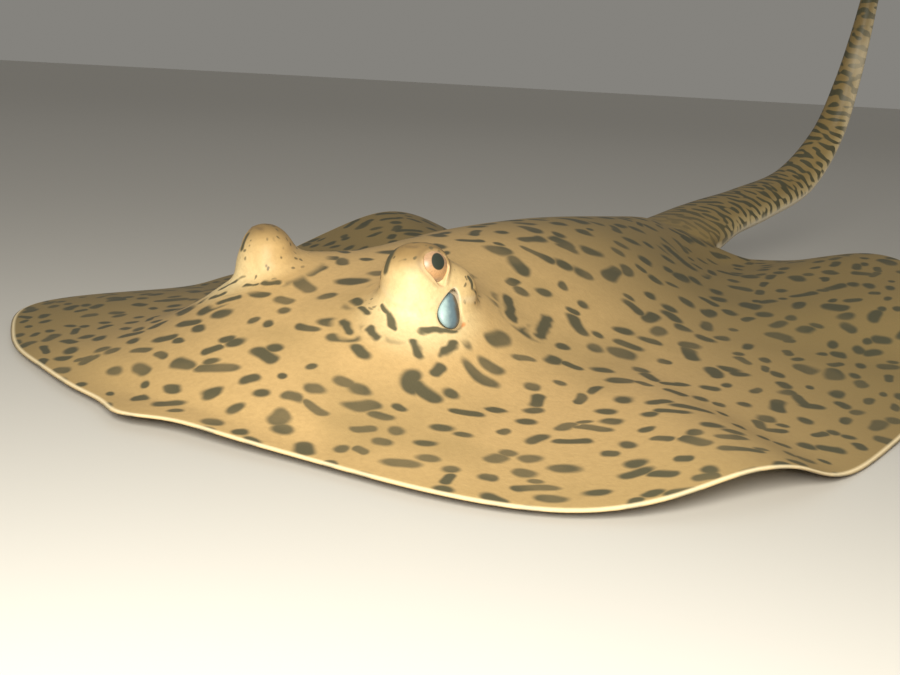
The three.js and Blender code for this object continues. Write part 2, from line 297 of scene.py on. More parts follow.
@dataclass(frozen=True)
class EyeForm:
    """One eyeball, where it looks, and the edge of its lids; given for the left and mirrored.

    The lid's edge is a ring round the gaze line. Each bend of it is the turn of its middle, its
    width, both in radians, and how far it moves the edge outwards.
    """

    centre: Triple = (35.9, -92.9, 39.8)
    radius: float = 6.5
    gaze: Triple = (0.945, -0.253, 0.208)
    lid_reach: float = 4.3
    lid_drop: float = 0.05
    lid_front: float = 0.2
    lid_point: Triple = (-2.95, 0.38, 1.7)
    lid_bends: tuple[Triple, ...] = ((0.9, 0.5, 0.4), (2.25, 0.55, -0.75))

    def axes(self) -> np.ndarray:
        """Return the rows gaze, up and front of the left eye."""
        gaze = np.array(self.gaze) / np.linalg.norm(self.gaze)
        up = np.array([0.0, 0.0, 1.0]) - gaze * gaze[2]
        up /= np.linalg.norm(up)
        return np.stack([gaze, up, np.cross(gaze, up)])

    def local(self, points: np.ndarray) -> np.ndarray:
        """Return points of the left side in the eye's own axes: outward, up and front."""
        return (points - np.array(self.centre)) @ self.axes().T

    def lid(self, up: np.ndarray, front: np.ndarray) -> np.ndarray:
        """Return the distance from the gaze line to the lid's edge.

        Args:
            up: Places above the gaze line.
            front: Places in front of the gaze line.

        Returns:
            The edge's distance in the direction of each place.
        """
        turn = np.arctan2(front, up)
        reach = self.lid_reach - self.lid_drop * np.cos(turn) + self.lid_front * np.sin(turn)
        for centre, width, out in (self.lid_point, *self.lid_bends):
            apart = np.mod(turn - centre + math.pi, 2.0 * math.pi) - math.pi
            reach = reach + out * np.exp(-((apart / width) ** 2))
        return reach


@dataclass(frozen=True)
class HeadForm:
    """Knobs, lids, spiracles and folds of the head, as one distance field for the left, mirrored.

    The knob, its lobe, its brow and the spiracle's hollow are ellipsoids: a middle and three half
    sizes. A join is the reach over which two of them run into each other.
    """

    disc: DiscForm = DiscForm()
    eye: EyeForm = EyeForm()
    knob: Blob = ((33.8, -92.9, 30.0), (9.6, 11.7, 16.8))
    knob_join: float = 3.2
    inner_join: float = 1.8
    inner_span: tuple[float, float] = (-2.0, 10.0)
    lobe: Blob = ((39.0, -81.5, 31.0), (6.4, 6.6, 7.4))
    lobe_join: float = 9.0
    brow: Blob = ((30.4, -95.8, 34.5), (7.4, 7.4, 10.8))
    brow_join: float = 4.0
    spiracle: Blob = ((44.1, -91.0, 28.0), (3.8, 3.9, 7.3))
    spiracle_out: Triple = (0.84, -0.106, 0.53)
    spiracle_long: Triple = (-0.449, 0.414, 0.792)
    spiracle_narrowing: float = 0.45
    spiracle_join: float = 1.2
    right_drop: Triple = (1.8, 0.0, 2.5)
    lid_cover: float = 0.45
    lid_join: float = 1.2
    lid_edge: tuple[float, float] = (-0.5, 0.2)
    lid_bead: float = 0.34
    bead_out: float = 0.3
    bead_lift: float = 0.35
    bead_join: float = 0.5
    eye_clear: float = 0.7
    folds: tuple[tuple[Triple, ...], ...] = (
        ((30.5, -98.5, 46.4), (33.9, -96.9, 46.2), (36.6, -95.9, 45.0)),
        ((33.2, -92.6, 47.2), (36.0, -91.6, 46.4), (38.2, -91.0, 45.0)),
        ((40.4, -102.7, 30.1), (39.8, -103.8, 28.7), (39.1, -105.1, 27.3)),
    )
    fold_radius: float = 0.35
    fold_join: float = 0.9

    def rough(self, p: np.ndarray) -> np.ndarray:
        """Return the field of the head with its knobs and lobes, but no openings.

        Args:
            p: Places, one row each.

        Returns:
            The distance of each place, negative inside.
        """
        x, y, q = p[:, 0], p[:, 1], self.to_left(p)
        step = 0.5
        top = self.disc.topside(x, y)
        slope_x = (self.disc.topside(x + step, y) - top) / step
        slope_y = (self.disc.topside(x, y + step) - top) / step
        base = (p[:, 2] - top) / np.sqrt(1.0 + slope_x ** 2 + slope_y ** 2)
        knob = ellipsoid(q, *self.knob)
        inner = smooth(self.knob[0][0] - q[:, 0], *self.inner_span)
        knob = join_soft(knob, ellipsoid(q, *self.brow), self.brow_join)
        knob = join_soft(knob, ellipsoid(q, *self.lobe), self.lobe_join)
        return join_soft(base, knob, self.knob_join + self.inner_join * inner)

    def to_left(self, p: np.ndarray) -> np.ndarray:
        """Return places brought to the left knob; the right one is a little lower and further in."""
        right = (p[:, 0] < 0.0)[:, None]
        mirrored = np.stack([np.abs(p[:, 0]), p[:, 1], p[:, 2]], axis=1)
        return mirrored + right * np.array(self.right_drop)

    def spiracle_distance(self, q: np.ndarray) -> np.ndarray:
        """Return the distance to the hollow of the left spiracle, which is narrower at its top."""
        centre, radii = self.spiracle
        local = (q - np.array(centre)) @ axes_of(self.spiracle_out, self.spiracle_long).T
        local[:, 1] /= 1.0 - self.spiracle_narrowing * np.clip(local[:, 2] / radii[2], -1.0, 1.0)
        return ellipsoid(local, (0.0, 0.0, 0.0), radii)

    def full(self, p: np.ndarray) -> np.ndarray:
        """Return the field with lids, spiracles and folds.

        Args:
            p: Places, one row each.

        Returns:
            The distance of each place, negative inside.
        """
        q = self.to_left(p)
        body = self.rough(p)
        body = cut_soft(body, self.spiracle_distance(q), self.spiracle_join)
        for path in self.folds:
            body = cut_soft(body, line_distance(q, path) - self.fold_radius, self.fold_join)
        e = self.eye.local(q)
        away = np.hypot(e[:, 1], e[:, 2])
        lid = self.eye.lid(e[:, 1], e[:, 2])
        ball = np.linalg.norm(e, axis=1) - self.eye.radius
        cover = join_soft(body, ball - self.lid_cover, self.lid_join)
        open_share = 1.0 - smooth(away - lid, *self.lid_edge)
        open_share = np.where(e[:, 0] > 0.0, open_share, 0.0)
        opened = blend(cover, ball + self.eye_clear, open_share)
        ring = lid + self.bead_out
        height = np.sqrt(np.maximum((self.eye.radius + self.bead_lift) ** 2 - ring ** 2, 0.0))
        bead = np.hypot(away - ring, e[:, 0] - height) - self.lid_bead
        return join_soft(opened, bead, self.bead_join)


@dataclass(frozen=True)
class TailForm:
    """The tail's middle line and its tapering section.

    Each row of the line is a place, the width there and the height there.
    """

    line: tuple[tuple[Triple, float, float], ...] = (
        ((0, 98, 17), 44, 22), ((0, 150, 22), 50, 25), ((3, 186, 30), 41, 21), ((10, 222, 37), 34, 20),
        ((20, 262, 50), 26, 18.5), ((28, 284, 76), 19, 15.5), ((34, 288, 106), 14.5, 13),
        ((38, 288, 132), 11.5, 11), ((40, 292, 158), 9, 10), ((41, 308, 186), 6.5, 10),
        ((38, 336, 208), 5, 9.5), ((30, 368, 220), 3.6, 7), ((20, 398, 224), 2, 3),
    )
    underside: float = 0.8
    steps: int = 400
    inset: float = 0.15
    cap: float = 3.0

    def samples(self) -> tuple[np.ndarray, ...]:
        """Follow the middle line in even steps.

        Returns:
            The places, the forward, side and up directions, the widths, the heights and the length
            so far, one row or number for each step.
        """
        places = [np.array(row[0], dtype=float) for row in self.line]
        sizes = [np.array(row[1:], dtype=float) for row in self.line]
        first, last = 2 * places[0] - places[1], 2 * places[-1] - places[-2]
        wide = [first] + places + [last]
        points, section = [], []
        spans = len(places) - 1
        for n in range(self.steps + 1):
            u = n / self.steps * spans
            i = min(int(u), spans - 1)
            points.append(self._curve(wide[i:i + 4], u - i))
            section.append(blend(sizes[i], sizes[i + 1], u - i))
        points, section = np.array(points), np.array(section)
        forward = np.gradient(points, axis=0)
        forward /= np.linalg.norm(forward, axis=1)[:, None]
        side = np.zeros_like(points)
        current = np.array([1.0, 0.0, 0.0])
        for n, ahead in enumerate(forward):
            current = current - ahead * (current @ ahead)
            current /= np.linalg.norm(current)
            side[n] = current
        up = np.cross(side, forward)
        run = np.concatenate([[0.0], np.cumsum(np.linalg.norm(np.diff(points, axis=0), axis=1))])
        return points, forward, side, up, section[:, 0], section[:, 1], run

    @staticmethod
    def _curve(p: list[np.ndarray], t: float) -> np.ndarray:
        """Return a point of the centripetal Catmull-Rom span between the middle two of four points."""
        d0, d1, d2 = (math.sqrt(np.linalg.norm(b - a)) for a, b in zip(p, p[1:]))
        start = ((p[1] - p[0]) / d0 - (p[2] - p[0]) / (d0 + d1) + (p[2] - p[1]) / d1) * d1
        end = ((p[2] - p[1]) / d1 - (p[3] - p[1]) / (d1 + d2) + (p[3] - p[2]) / d2) * d1
        square = -3.0 * p[1] + 3.0 * p[2] - 2.0 * start - end
        cube = 2.0 * p[1] - 2.0 * p[2] + start + end
        return p[1] + start * t + square * t * t + cube * t ** 3


def mesh_places(mesh: bpy.types.Mesh) -> np.ndarray:
    """Return a mesh's vertices, one row each."""
    flat = np.empty(len(mesh.vertices) * 3)
    mesh.vertices.foreach_get("co", flat)
    return flat.reshape(-1, 3)


def set_places(mesh: bpy.types.Mesh, places: np.ndarray) -> None:
    """Move a mesh's vertices."""
    mesh.vertices.foreach_set("co", places.astype(np.float32).ravel())
    mesh.update()


def mesh_edges(mesh: bpy.types.Mesh) -> np.ndarray:
    """Return a mesh's edges as pairs of vertex numbers."""
    flat = np.empty(len(mesh.edges) * 2, dtype=np.int64)
    mesh.edges.foreach_get("vertices", flat)
    return flat.reshape(-1, 2)


def paint(mesh: bpy.types.Mesh, name: str, values: np.ndarray) -> None:
    """Store one number for each vertex under a name that the materials read."""
    layer = mesh.attributes.new(name, "FLOAT", "POINT")
    layer.data.foreach_set("value", values.astype(np.float32))


def paint_vector(mesh: bpy.types.Mesh, name: str, values: np.ndarray) -> None:
    """Store one vector for each vertex under a name that the materials read."""
    layer = mesh.attributes.new(name, "FLOAT_VECTOR", "POINT")
    layer.data.foreach_set("vector", values.astype(np.float32).ravel())


def sphere_mesh(name: str, columns: int, rows: int) -> bpy.types.Mesh:
    """Return a unit sphere of latitude rings with its poles on Z."""
    bm = bmesh.new()
    bmesh.ops.create_uvsphere(bm, u_segments=columns, v_segments=rows, radius=1.0)
    mesh = bpy.data.meshes.new(name)
    bm.to_mesh(mesh)
    bm.free()
    return mesh


def rows_at(at: np.ndarray, run: np.ndarray, values: np.ndarray) -> np.ndarray:
    """Return rows of values, given along a run, at other places of that run."""
    return np.stack([np.interp(at, run, values[:, k]) for k in range(values.shape[1])], axis=1)


def facing_down(mesh: bpy.types.Mesh) -> np.ndarray:
    """Return how far each vertex faces down: 1 straight down, -1 straight up."""
    normals = np.empty(len(mesh.vertices) * 3)
    mesh.vertices.foreach_get("normal", normals)
    return -normals.reshape(-1, 3)[:, 2]


def relax(
    mesh: bpy.types.Mesh, weight: np.ndarray, distance_at: DistanceField | None, rounds: int, pull: float
) -> None:
    """Even out a patch of a mesh and hold it on the zero of a distance field.

    Args:
        mesh: The mesh to move.
        weight: For each vertex, how free it is, 0 to 1.
        distance_at: The field to stay on, or None to smooth freely.
        rounds: How many times to even out.
        pull: The share of the way to the neighbours' middle that a vertex moves each time.
    """
    step, least_slope, furthest, settling_rounds = 0.05, 0.05, 3.0, 2
    places = mesh_places(mesh)
    a, b = mesh_edges(mesh).T
    near = (weight[a] > 0.0) | (weight[b] > 0.0)
    a, b = a[near], b[near]
    chosen = np.flatnonzero(weight > 0.0)
    size = len(places)
    count = np.bincount(a, minlength=size) + np.bincount(b, minlength=size)
    count = np.maximum(count[chosen], 1)[:, None]
    share = weight[chosen][:, None]
    for turn in range(rounds + settling_rounds):
        total = np.stack([
            np.bincount(a, places[b, k], minlength=size) + np.bincount(b, places[a, k], minlength=size)
            for k in range(3)
        ], axis=1)[chosen]
        p = places[chosen]
        move = (total / count - p) * pull if turn < rounds else np.zeros_like(p)
        if distance_at is not None:
            value = distance_at(p)
            slope = np.stack([(distance_at(p + axis * step) - value) / step for axis in np.eye(3)], axis=1)
            steep = np.maximum((slope ** 2).sum(axis=1), least_slope)[:, None]
            move = move - slope * (move * slope).sum(axis=1)[:, None] / steep
            move = move - slope * np.clip(value, -furthest, furthest)[:, None] / steep
        places[chosen] = p + move * share
    set_places(mesh, places)


def cut_to_quads(bm: bmesh.types.BMesh) -> None:
    """Cut every face of more than four corners into triangles."""
    many = [f for f in bm.faces if len(f.verts) > 4]
    bmesh.ops.triangulate(bm, faces=many, quad_method="BEAUTY", ngon_method="BEAUTY")


def refine(mesh: bpy.types.Mesh, chosen: np.ndarray) -> None:
    """Make a patch of a mesh finer, by cutting in half every edge whose two ends are chosen.

    Args:
        mesh: The mesh to cut.
        chosen: Which vertices are chosen.
    """
    bm = bmesh.new()
    bm.from_mesh(mesh)
    bm.verts.ensure_lookup_table()
    edges = [e for e in bm.edges if chosen[e.verts[0].index] and chosen[e.verts[1].index]]
    bmesh.ops.subdivide_edges(bm, edges=edges, cuts=1, use_grid_fill=True)
    cut_to_quads(bm)
    bm.to_mesh(mesh)
    bm.free()


def face_out(mesh: bpy.types.Mesh) -> None:
    """Turn a closed mesh's faces outwards."""
    bm = bmesh.new()
    bm.from_mesh(mesh)
    bmesh.ops.recalc_face_normals(bm, faces=bm.faces[:])
    bm.to_mesh(mesh)
    bm.free()


@dataclass(frozen=True)
class BellyForm:
    """Mouth, nostrils and gill slits, sunk into the underside; given for the left and mirrored."""

    middle: tuple[float, float] = (0.0, -60.0)
    half_box: tuple[float, float] = (42.0, 55.0)
    mouth_box: Triple = (16.0, -109.0, -87.0)
    gill_box: tuple[float, float, float, float] = (27.0, 9.0, -71.0, -20.0)
    mouth_y: float = -92.0
    mouth_depth: float = 2.0
    mouth_bend: float = 0.012
    mouth_width: float = 1.8
    mouth_ends: tuple[float, float] = (10.0, 14.0)
    flap_depth: float = 0.6
    flap_ends: tuple[float, float] = (9.0, 11.0)
    flap_front: tuple[float, float] = (-106.0, -104.0)
    flap_rear: tuple[float, float] = (-98.0, -96.5)
    nostril_at: tuple[float, float] = (11.5, -103.0)
    nostril_size: tuple[float, float] = (1.8, 3.2)
    nostril_depth: float = 1.8
    gills: int = 5
    gill_at: tuple[float, float] = (30.0, -66.0)
    gill_step: tuple[float, float] = (1.6, 10.0)
    gill_bend: float = 0.03
    gill_width: float = 1.6
    gill_depth: float = 1.5
    gill_ends: tuple[float, float] = (3.5, 6.0)

    def near(self, x: np.ndarray, y: np.ndarray) -> np.ndarray:
        """Return which places are in the part that holds them all."""
        (cx, cy), (wide, long) = self.middle, self.half_box
        return (np.abs(x - cx) < wide) & (np.abs(y - cy) < long)

    def close(self, x: np.ndarray, y: np.ndarray) -> np.ndarray:
        """Return which places of the left half are close to the mouth or to a gill slit."""
        half, front, rear = self.mouth_box
        mouth = (x < half) & (y > front) & (y < rear)
        centre, half, front, rear = self.gill_box
        gills = (np.abs(x - centre) < half) & (y > front) & (y < rear)
        return mouth | gills

    def depth(self, x: np.ndarray, y: np.ndarray) -> np.ndarray:
        """Return how far the underside is sunk.

        Args:
            x: Places across, of the left half.
            y: Places along.

        Returns:
            The depth at each place.
        """
        bent = y - self.mouth_y + self.mouth_bend * x ** 2
        mouth = self.mouth_depth * np.exp(-((bent / self.mouth_width) ** 2))
        mouth = mouth * (1.0 - smooth(x, *self.mouth_ends))
        flap = (1.0 - smooth(x, *self.flap_ends)) * smooth(y, *self.flap_front)
        flap = flap * (1.0 - smooth(y, *self.flap_rear))
        across = ((x - self.nostril_at[0]) / self.nostril_size[0]) ** 2
        along = ((y - self.nostril_at[1]) / self.nostril_size[1]) ** 2
        nostril = self.nostril_depth * np.exp(-across - along)
        inward, back = self.gill_step
        row = np.clip(np.round((y - self.gill_at[1]) / back), 0, self.gills - 1)
        centre = self.gill_at[0] - inward * row
        bent = y - self.gill_at[1] - row * back + self.gill_bend * (x - centre) ** 2
        slit = np.exp(-((bent / self.gill_width) ** 2))
        gill = self.gill_depth * slit * (1.0 - smooth(np.abs(x - centre), *self.gill_ends))
        return mouth + nostril + gill + flap * self.flap_depth


@dataclass(frozen=True)
class PelvicForm:
    """The two pelvic fins, flat lobes under the disc's rear margin."""

    centre: Triple = (46.0, 143.0, 5.6)
    radii: Triple = (27.0, 32.0, 2.8)
    splay: float = 0.3
    columns: int = 48
    rows: int = 20
    edge_share: tuple[float, float] = (0.96, 0.975)
    skin_depth: tuple[float, float] = (0.6, 1.4)

    def fin_mesh(self, side: Side) -> bpy.types.Mesh:
        """Make one fin.

        Args:
            side: The fin's side.

        Returns:
            The closed fin in its place.
        """
        cx, cy, cz = self.centre
        mesh = sphere_mesh("pelvic_fin", self.columns, self.rows)
        turn = Matrix.Rotation(-self.splay * side.value, 4, "Z")
        place = Matrix.Translation((cx * side.value, cy, cz)) @ turn @ Matrix.Diagonal((*self.radii, 1.0))
        mesh.transform(place)
        return mesh

    def local(self, p: np.ndarray, side: Side) -> np.ndarray:
        """Bring places into a fin's own axes.

        Args:
            p: Places, one row each.
            side: The fin's side.

        Returns:
            The places along outward, to the rear and up.
        """
        cx, cy, cz = self.centre
        turn = -self.splay * side.value
        cos, sin = math.cos(turn), math.sin(turn)
        off = p - np.array((cx * side.value, cy, cz))
        outward, rear = off[:, 0] * cos + off[:, 1] * sin, off[:, 1] * cos - off[:, 0] * sin
        return np.stack([outward, rear, off[:, 2]], axis=1)

    def depth(self, p: np.ndarray, side: Side) -> np.ndarray:
        """Return how far places are from a fin's surface, on either side of it."""
        return np.abs(ellipsoid(self.local(p, side), (0.0, 0.0, 0.0), self.radii))

    def shares(self, p: np.ndarray) -> tuple[np.ndarray, np.ndarray]:
        """Tell the fins and their margins apart from the rest of the skin.

        Args:
            p: Places, one row each.

        Returns:
            How far each place belongs to a fin's margin, and how far to a fin at all.
        """
        edge, fins = np.zeros(len(p)), np.zeros(len(p))
        for side in Side:
            share = np.linalg.norm((self.local(p, side) / np.array(self.radii))[:, :2], axis=1)
            on_fin = 1.0 - smooth(self.depth(p, side), *self.skin_depth)
            edge = np.maximum(edge, smooth(share, *self.edge_share) * on_fin)
            fins = np.maximum(fins, on_fin)
        return edge, fins


@dataclass
class Skin:
    """The one skin over disc, head, pelvic fins and tail.

    Each of the head's stages is a distance from the knob's middle within which the mesh is made
    finer, whether the openings are cut by then, and how many times the mesh is evened out.
    """

    disc: DiscForm = field(default_factory=DiscForm)
    head: HeadForm = field(default_factory=HeadForm)
    tail: TailForm = field(default_factory=TailForm)
    belly: BellyForm = field(default_factory=BellyForm)
    pelvic: PelvicForm = field(default_factory=PelvicForm)
    columns: int = 320
    top_rows: int = 88
    under_rows: int = 50
    middle_spread: float = 0.6
    round_share: float = 0.988
    tail_columns: int = 40
    tail_rows: int = 240
    head_middle: Triple = (37.0, -90.0, 33.0)
    head_reach: tuple[float, float] = (34.0, 46.0)
    head_rounds: int = 60
    stages: tuple[tuple[float, bool, int], ...] = ((27.0, False, 14), (21.0, True, 14), (16.0, True, 8))
    stage_reach: float = 10.0
    pull: float = 0.6
    fine_pull: float = 0.5
    eye_front: float = 0.5
    far: float = 1e3
    lid_band: float = 1.6
    lid_reach: float = 8.5
    eye_reach: tuple[float, float] = (9.0, 12.0)
    eye_rounds: int = 20
    doubles: float = 0.05
    rear_y: float = 90.0
    tail_seam: tuple[float, float] = (3.0, 8.0)
    fin_seam: tuple[float, float] = (1.5, 5.0)
    seam_rounds: int = 60
    tail_root_y: tuple[float, float] = (125.0, 160.0)
    edge_share: tuple[float, float] = (0.991, 0.995)
    edge_end: tuple[float, float] = (1.004, 1.012)
    edge_turn: tuple[float, float] = (-0.5, -0.1)
    under_turn: tuple[float, float] = (-0.12, 0.3)
    # The cheeks' pale tone together with the painted highlight on them.
    cream_and_highlight: Blob = ((38.0, -97.0, 26.0), (16.0, 19.0, 16.0))
    cream_share: tuple[float, float] = (0.35, 1.35)
    knob_reach: tuple[float, float] = (0.5, 16.0)
    lobe_set_back: float = 1.0
    lid_line: tuple[float, float] = (0.25, 0.4)
    # The painted shade in the groove round each lid: how far out, how wide and how dark.
    groove_shade: Triple = (1.35, 0.6, 0.55)
    fold_width: float = 0.9
    pit_edge: tuple[float, float] = (-0.6, 0.7)
    sunk_depth: tuple[float, float] = (0.7, 1.8)
    sunk_turn: tuple[float, float] = (0.2, 0.6)
    fin_edge_share: tuple[float, float] = (0.985, 1.0)
    off_tail: tuple[float, float] = (2.0, 6.0)
    off_tail_y: float = 110.0
    on_tail: tuple[float, float] = (1.0, 5.0)
    tail_share: float = 0.8

    def disc_mesh(self) -> bpy.types.Mesh:
        """Make the disc.

        Returns:
            The closed disc, with its knobs only roughly raised.
        """
        rows = self.top_rows + self.under_rows
        mesh = sphere_mesh("skin", self.columns, rows)
        unit = mesh_places(mesh)
        ring = np.round(np.arccos(np.clip(unit[:, 2], -1.0, 1.0)) / math.pi * rows)
        angle = np.degrees(np.arctan2(unit[:, 0], -unit[:, 1]))
        on_top = ring <= self.top_rows
        t = np.where(on_top, ring / self.top_rows, (rows - ring) / self.under_rows)
        share = blend(t, np.sin(t * math.pi / 2.0), self.middle_spread)
        reach = share * self.disc.radius(angle)
        turn = np.radians(angle)
        x, y = reach * np.sin(turn), -reach * np.cos(turn)
        low, high = self.disc.underside(x, y), self.raised(x, y)
        middle = (low + high) / 2.0
        past = np.clip((share - self.round_share) / (1.0 - self.round_share), 0.0, 1.0)
        half = (high - low) / 2.0 * np.sqrt(1.0 - past ** 2)
        z = np.where(on_top, middle + half, middle - half)
        set_places(mesh, np.stack([x, y, z], axis=1))
        return mesh

    def raised(self, x: np.ndarray, y: np.ndarray) -> np.ndarray:
        """Return the height of the upper side, with the knobs standing straight up from it."""
        (cx, cy, cz), (rx, ry, rz) = self.head.knob
        inside = 1.0 - ((np.abs(x) - cx) / rx) ** 2 - ((y - cy) / ry) ** 2
        knob = np.where(inside > 0.0, cz + rz * np.sqrt(np.maximum(inside, 0.0)), 0.0)
        return np.maximum(self.disc.topside(x, y), knob)

    def from_head(self, mesh: bpy.types.Mesh) -> np.ndarray:
        """Return how far the vertices are from a knob's middle, with the underside put far away."""
        p = mesh_places(mesh)
        away = np.linalg.norm(self.head.to_left(p) - np.array(self.head_middle), axis=1)
        return np.where(self.is_top(p), away, self.far)

    def on_lids(self, mesh: bpy.types.Mesh) -> np.ndarray:
        """Return which vertices are close to the edge of a lid."""
        e = self.head.eye.local(self.head.to_left(mesh_places(mesh)))
        ring = np.abs(np.hypot(e[:, 1], e[:, 2]) - self.head.eye.lid(e[:, 1], e[:, 2]))
        near = (e[:, 0] > self.eye_front) & (np.linalg.norm(e, axis=1) < self.lid_reach)
        return (ring < self.lid_band) & near

    def shape_head(self, mesh: bpy.types.Mesh) -> None:
        """Fit the knobs, lids, spiracles and folds, with finer mesh towards the eyes.

        Args:
            mesh: The disc, with its knobs roughly raised.
        """
        free = 1.0 - smooth(self.from_head(mesh), *self.head_reach)
        relax(mesh, free, self.head.rough, self.head_rounds, self.pull)
        for radius, opened, rounds in self.stages:
            refine(mesh, self.from_head(mesh) < radius)
            free = 1.0 - smooth(self.from_head(mesh), radius, radius + self.stage_reach)
            relax(mesh, free, self.head.full if opened else self.head.rough, rounds, self.fine_pull)
        refine(mesh, self.on_lids(mesh))
        from_eye = np.linalg.norm(self.head.eye.local(self.head.to_left(mesh_places(mesh))), axis=1)
        free = 1.0 - smooth(from_eye, *self.eye_reach)
        relax(mesh, free, self.head.full, self.eye_rounds, self.fine_pull)

    def shape_belly(self, mesh: bpy.types.Mesh) -> None:
        """Sink the mouth, the nostrils and the gill slits into the underside, on finer mesh.

        Args:
            mesh: The disc.
        """
        p = mesh_places(mesh)
        refine(mesh, self.belly.near(p[:, 0], p[:, 1]) & ~self.is_top(p))
        p = mesh_places(mesh)
        refine(mesh, self.belly.close(np.abs(p[:, 0]), p[:, 1]) & ~self.is_top(p))
        p = mesh_places(mesh)
        p[:, 2] += np.where(self.is_top(p), 0.0, self.belly.depth(np.abs(p[:, 0]), p[:, 1]))
        set_places(mesh, p)

    def is_top(self, p: np.ndarray) -> np.ndarray:
        """Return which places are on the upper side of the disc."""
        high, low = self.disc.topside(p[:, 0], p[:, 1]), self.disc.underside(p[:, 0], p[:, 1])
        return p[:, 2] > (high + low) / 2.0

    def tail_mesh(self) -> bpy.types.Mesh:
        """Make the tail.

        Returns:
            The closed tail, round at both ends.
        """
        points, _, side, up, width, height, run = self.tail.samples()
        mesh = sphere_mesh("tail", self.tail_columns, self.tail_rows)
        unit = mesh_places(mesh)
        ring = np.arccos(np.clip(unit[:, 2], -1.0, 1.0)) / math.pi
        at = ring * run[-1]
        end = np.minimum(at, run[-1] - at)
        full = np.sqrt(np.clip(1.0 - (1.0 - np.clip(end / self.tail.cap, 0.0, 1.0)) ** 2, 0.0, 1.0))
        turn = np.arctan2(unit[:, 1], unit[:, 0])
        wide = (np.interp(at, run, width) / 2.0 - self.tail.inset) * full
        tall = (np.interp(at, run, height) / 2.0 - self.tail.inset) * full
        rise = np.sin(turn) * tall
        rise = np.where(rise < 0.0, rise * self.tail.underside, rise)
        middle, across, above = (rows_at(at, run, values) for values in (points, side, up))
        set_places(mesh, middle + across * (np.cos(turn) * wide)[:, None] + above * rise[:, None])
        face_out(mesh)
        return mesh

    def joined(self, body: bpy.types.Mesh, others: list[bpy.types.Mesh]) -> bpy.types.Mesh:
        """Return the union of the body with the other meshes.

        Args:
            body: The disc.
            others: The closed meshes that grow from it.

        Returns:
            One closed mesh, its doubles merged.
        """
        holder = bpy.data.objects.new("skin_body", body)
        bpy.context.scene.collection.objects.link(holder)
        extras = []
        for mesh in others:
            extra = bpy.data.objects.new(mesh.name, mesh)
            bpy.context.scene.collection.objects.link(extra)
            extras.append(extra)
            union = holder.modifiers.new("union", "BOOLEAN")
            union.operation, union.solver, union.object = "UNION", "EXACT", extra
        shaped = holder.evaluated_get(bpy.context.evaluated_depsgraph_get())
        mesh = bpy.data.meshes.new_from_object(shaped)
        for thing in [holder, *extras]:
            bpy.data.objects.remove(thing)
        bm = bmesh.new()
        bm.from_mesh(mesh)
        bmesh.ops.remove_doubles(bm, verts=bm.verts[:], dist=self.doubles)
        cut_to_quads(bm)
        bm.to_mesh(mesh)
        bm.free()
        return mesh

    def tail_frame(self, p: np.ndarray) -> tuple[np.ndarray, np.ndarray, np.ndarray]:
        """Return each place in the straightened tail, and its distance to the tail's surface.

        Args:
            p: Places, one row each.

        Returns:
            Rows of across and up as shares of the half sizes with the length so far between them,
            the distances, and the tail's mean radius at each.
        """
        points, forward, side, up, width, height, run = self.tail.samples()
        nearest = np.empty(len(p), dtype=int)
        at_once, root_length = 4000, 5.0
        for start in range(0, len(p), at_once):
            block = p[start:start + at_once]
            gap = (block ** 2).sum(1)[:, None] - 2.0 * block @ points.T + (points ** 2).sum(1)[None]
            nearest[start:start + at_once] = gap.argmin(axis=1)
        off = p - points[nearest]
        across = (off * side[nearest]).sum(1)
        rise = (off * up[nearest]).sum(1)
        tall = height[nearest] / 2.0 * np.where(rise < 0.0, self.tail.underside, 1.0)
        wide = width[nearest] / 2.0
        ratio = np.hypot(across / wide, rise / tall)
        past = np.linalg.norm(off, axis=1)
        distance = (ratio - 1.0) * np.minimum(wide, tall)
        distance = np.where(nearest == 0, np.maximum(distance, past - root_length), distance)
        length = run[nearest] + (off * forward[nearest]).sum(1)
        return np.stack([across / wide, length, rise / tall], axis=1), distance, (wide + tall) / 2.0

    def disc_distance(self, p: np.ndarray) -> np.ndarray:
        """Return roughly how far each place is from the disc's surface."""
        _, share = self.disc.plan(p[:, 0], p[:, 1])
        high, low = self.disc.topside(p[:, 0], p[:, 1]), self.disc.underside(p[:, 0], p[:, 1])
        edge = (share - 1.0) * np.hypot(p[:, 0], p[:, 1]) / np.maximum(share, 0.1)
        return np.maximum(np.maximum(p[:, 2] - high, low - p[:, 2]), edge)

    def smooth_seams(self, mesh: bpy.types.Mesh) -> None:
        """Round the hollows where the tail and the pelvic fins leave the disc.

        Args:
            mesh: The whole skin.
        """
        p = mesh_places(mesh)
        rear = p[:, 1] > self.rear_y
        _, tail_gap, _ = self.tail_frame(p[rear])
        to_tail, to_disc = np.abs(tail_gap), np.abs(self.disc_distance(p[rear]))
        at_tail = (1.0 - smooth(to_tail, *self.tail_seam)) * (1.0 - smooth(to_disc, *self.tail_seam))
        to_fins = np.minimum.reduce([self.pelvic.depth(p[rear], side) for side in Side])
        at_fins = (1.0 - smooth(to_fins, *self.fin_seam)) * (1.0 - smooth(to_disc, *self.fin_seam))
        free = np.zeros(len(p))
        free[rear] = np.maximum(at_tail, at_fins * 0.5)
        relax(mesh, free, None, self.seam_rounds, self.pull)

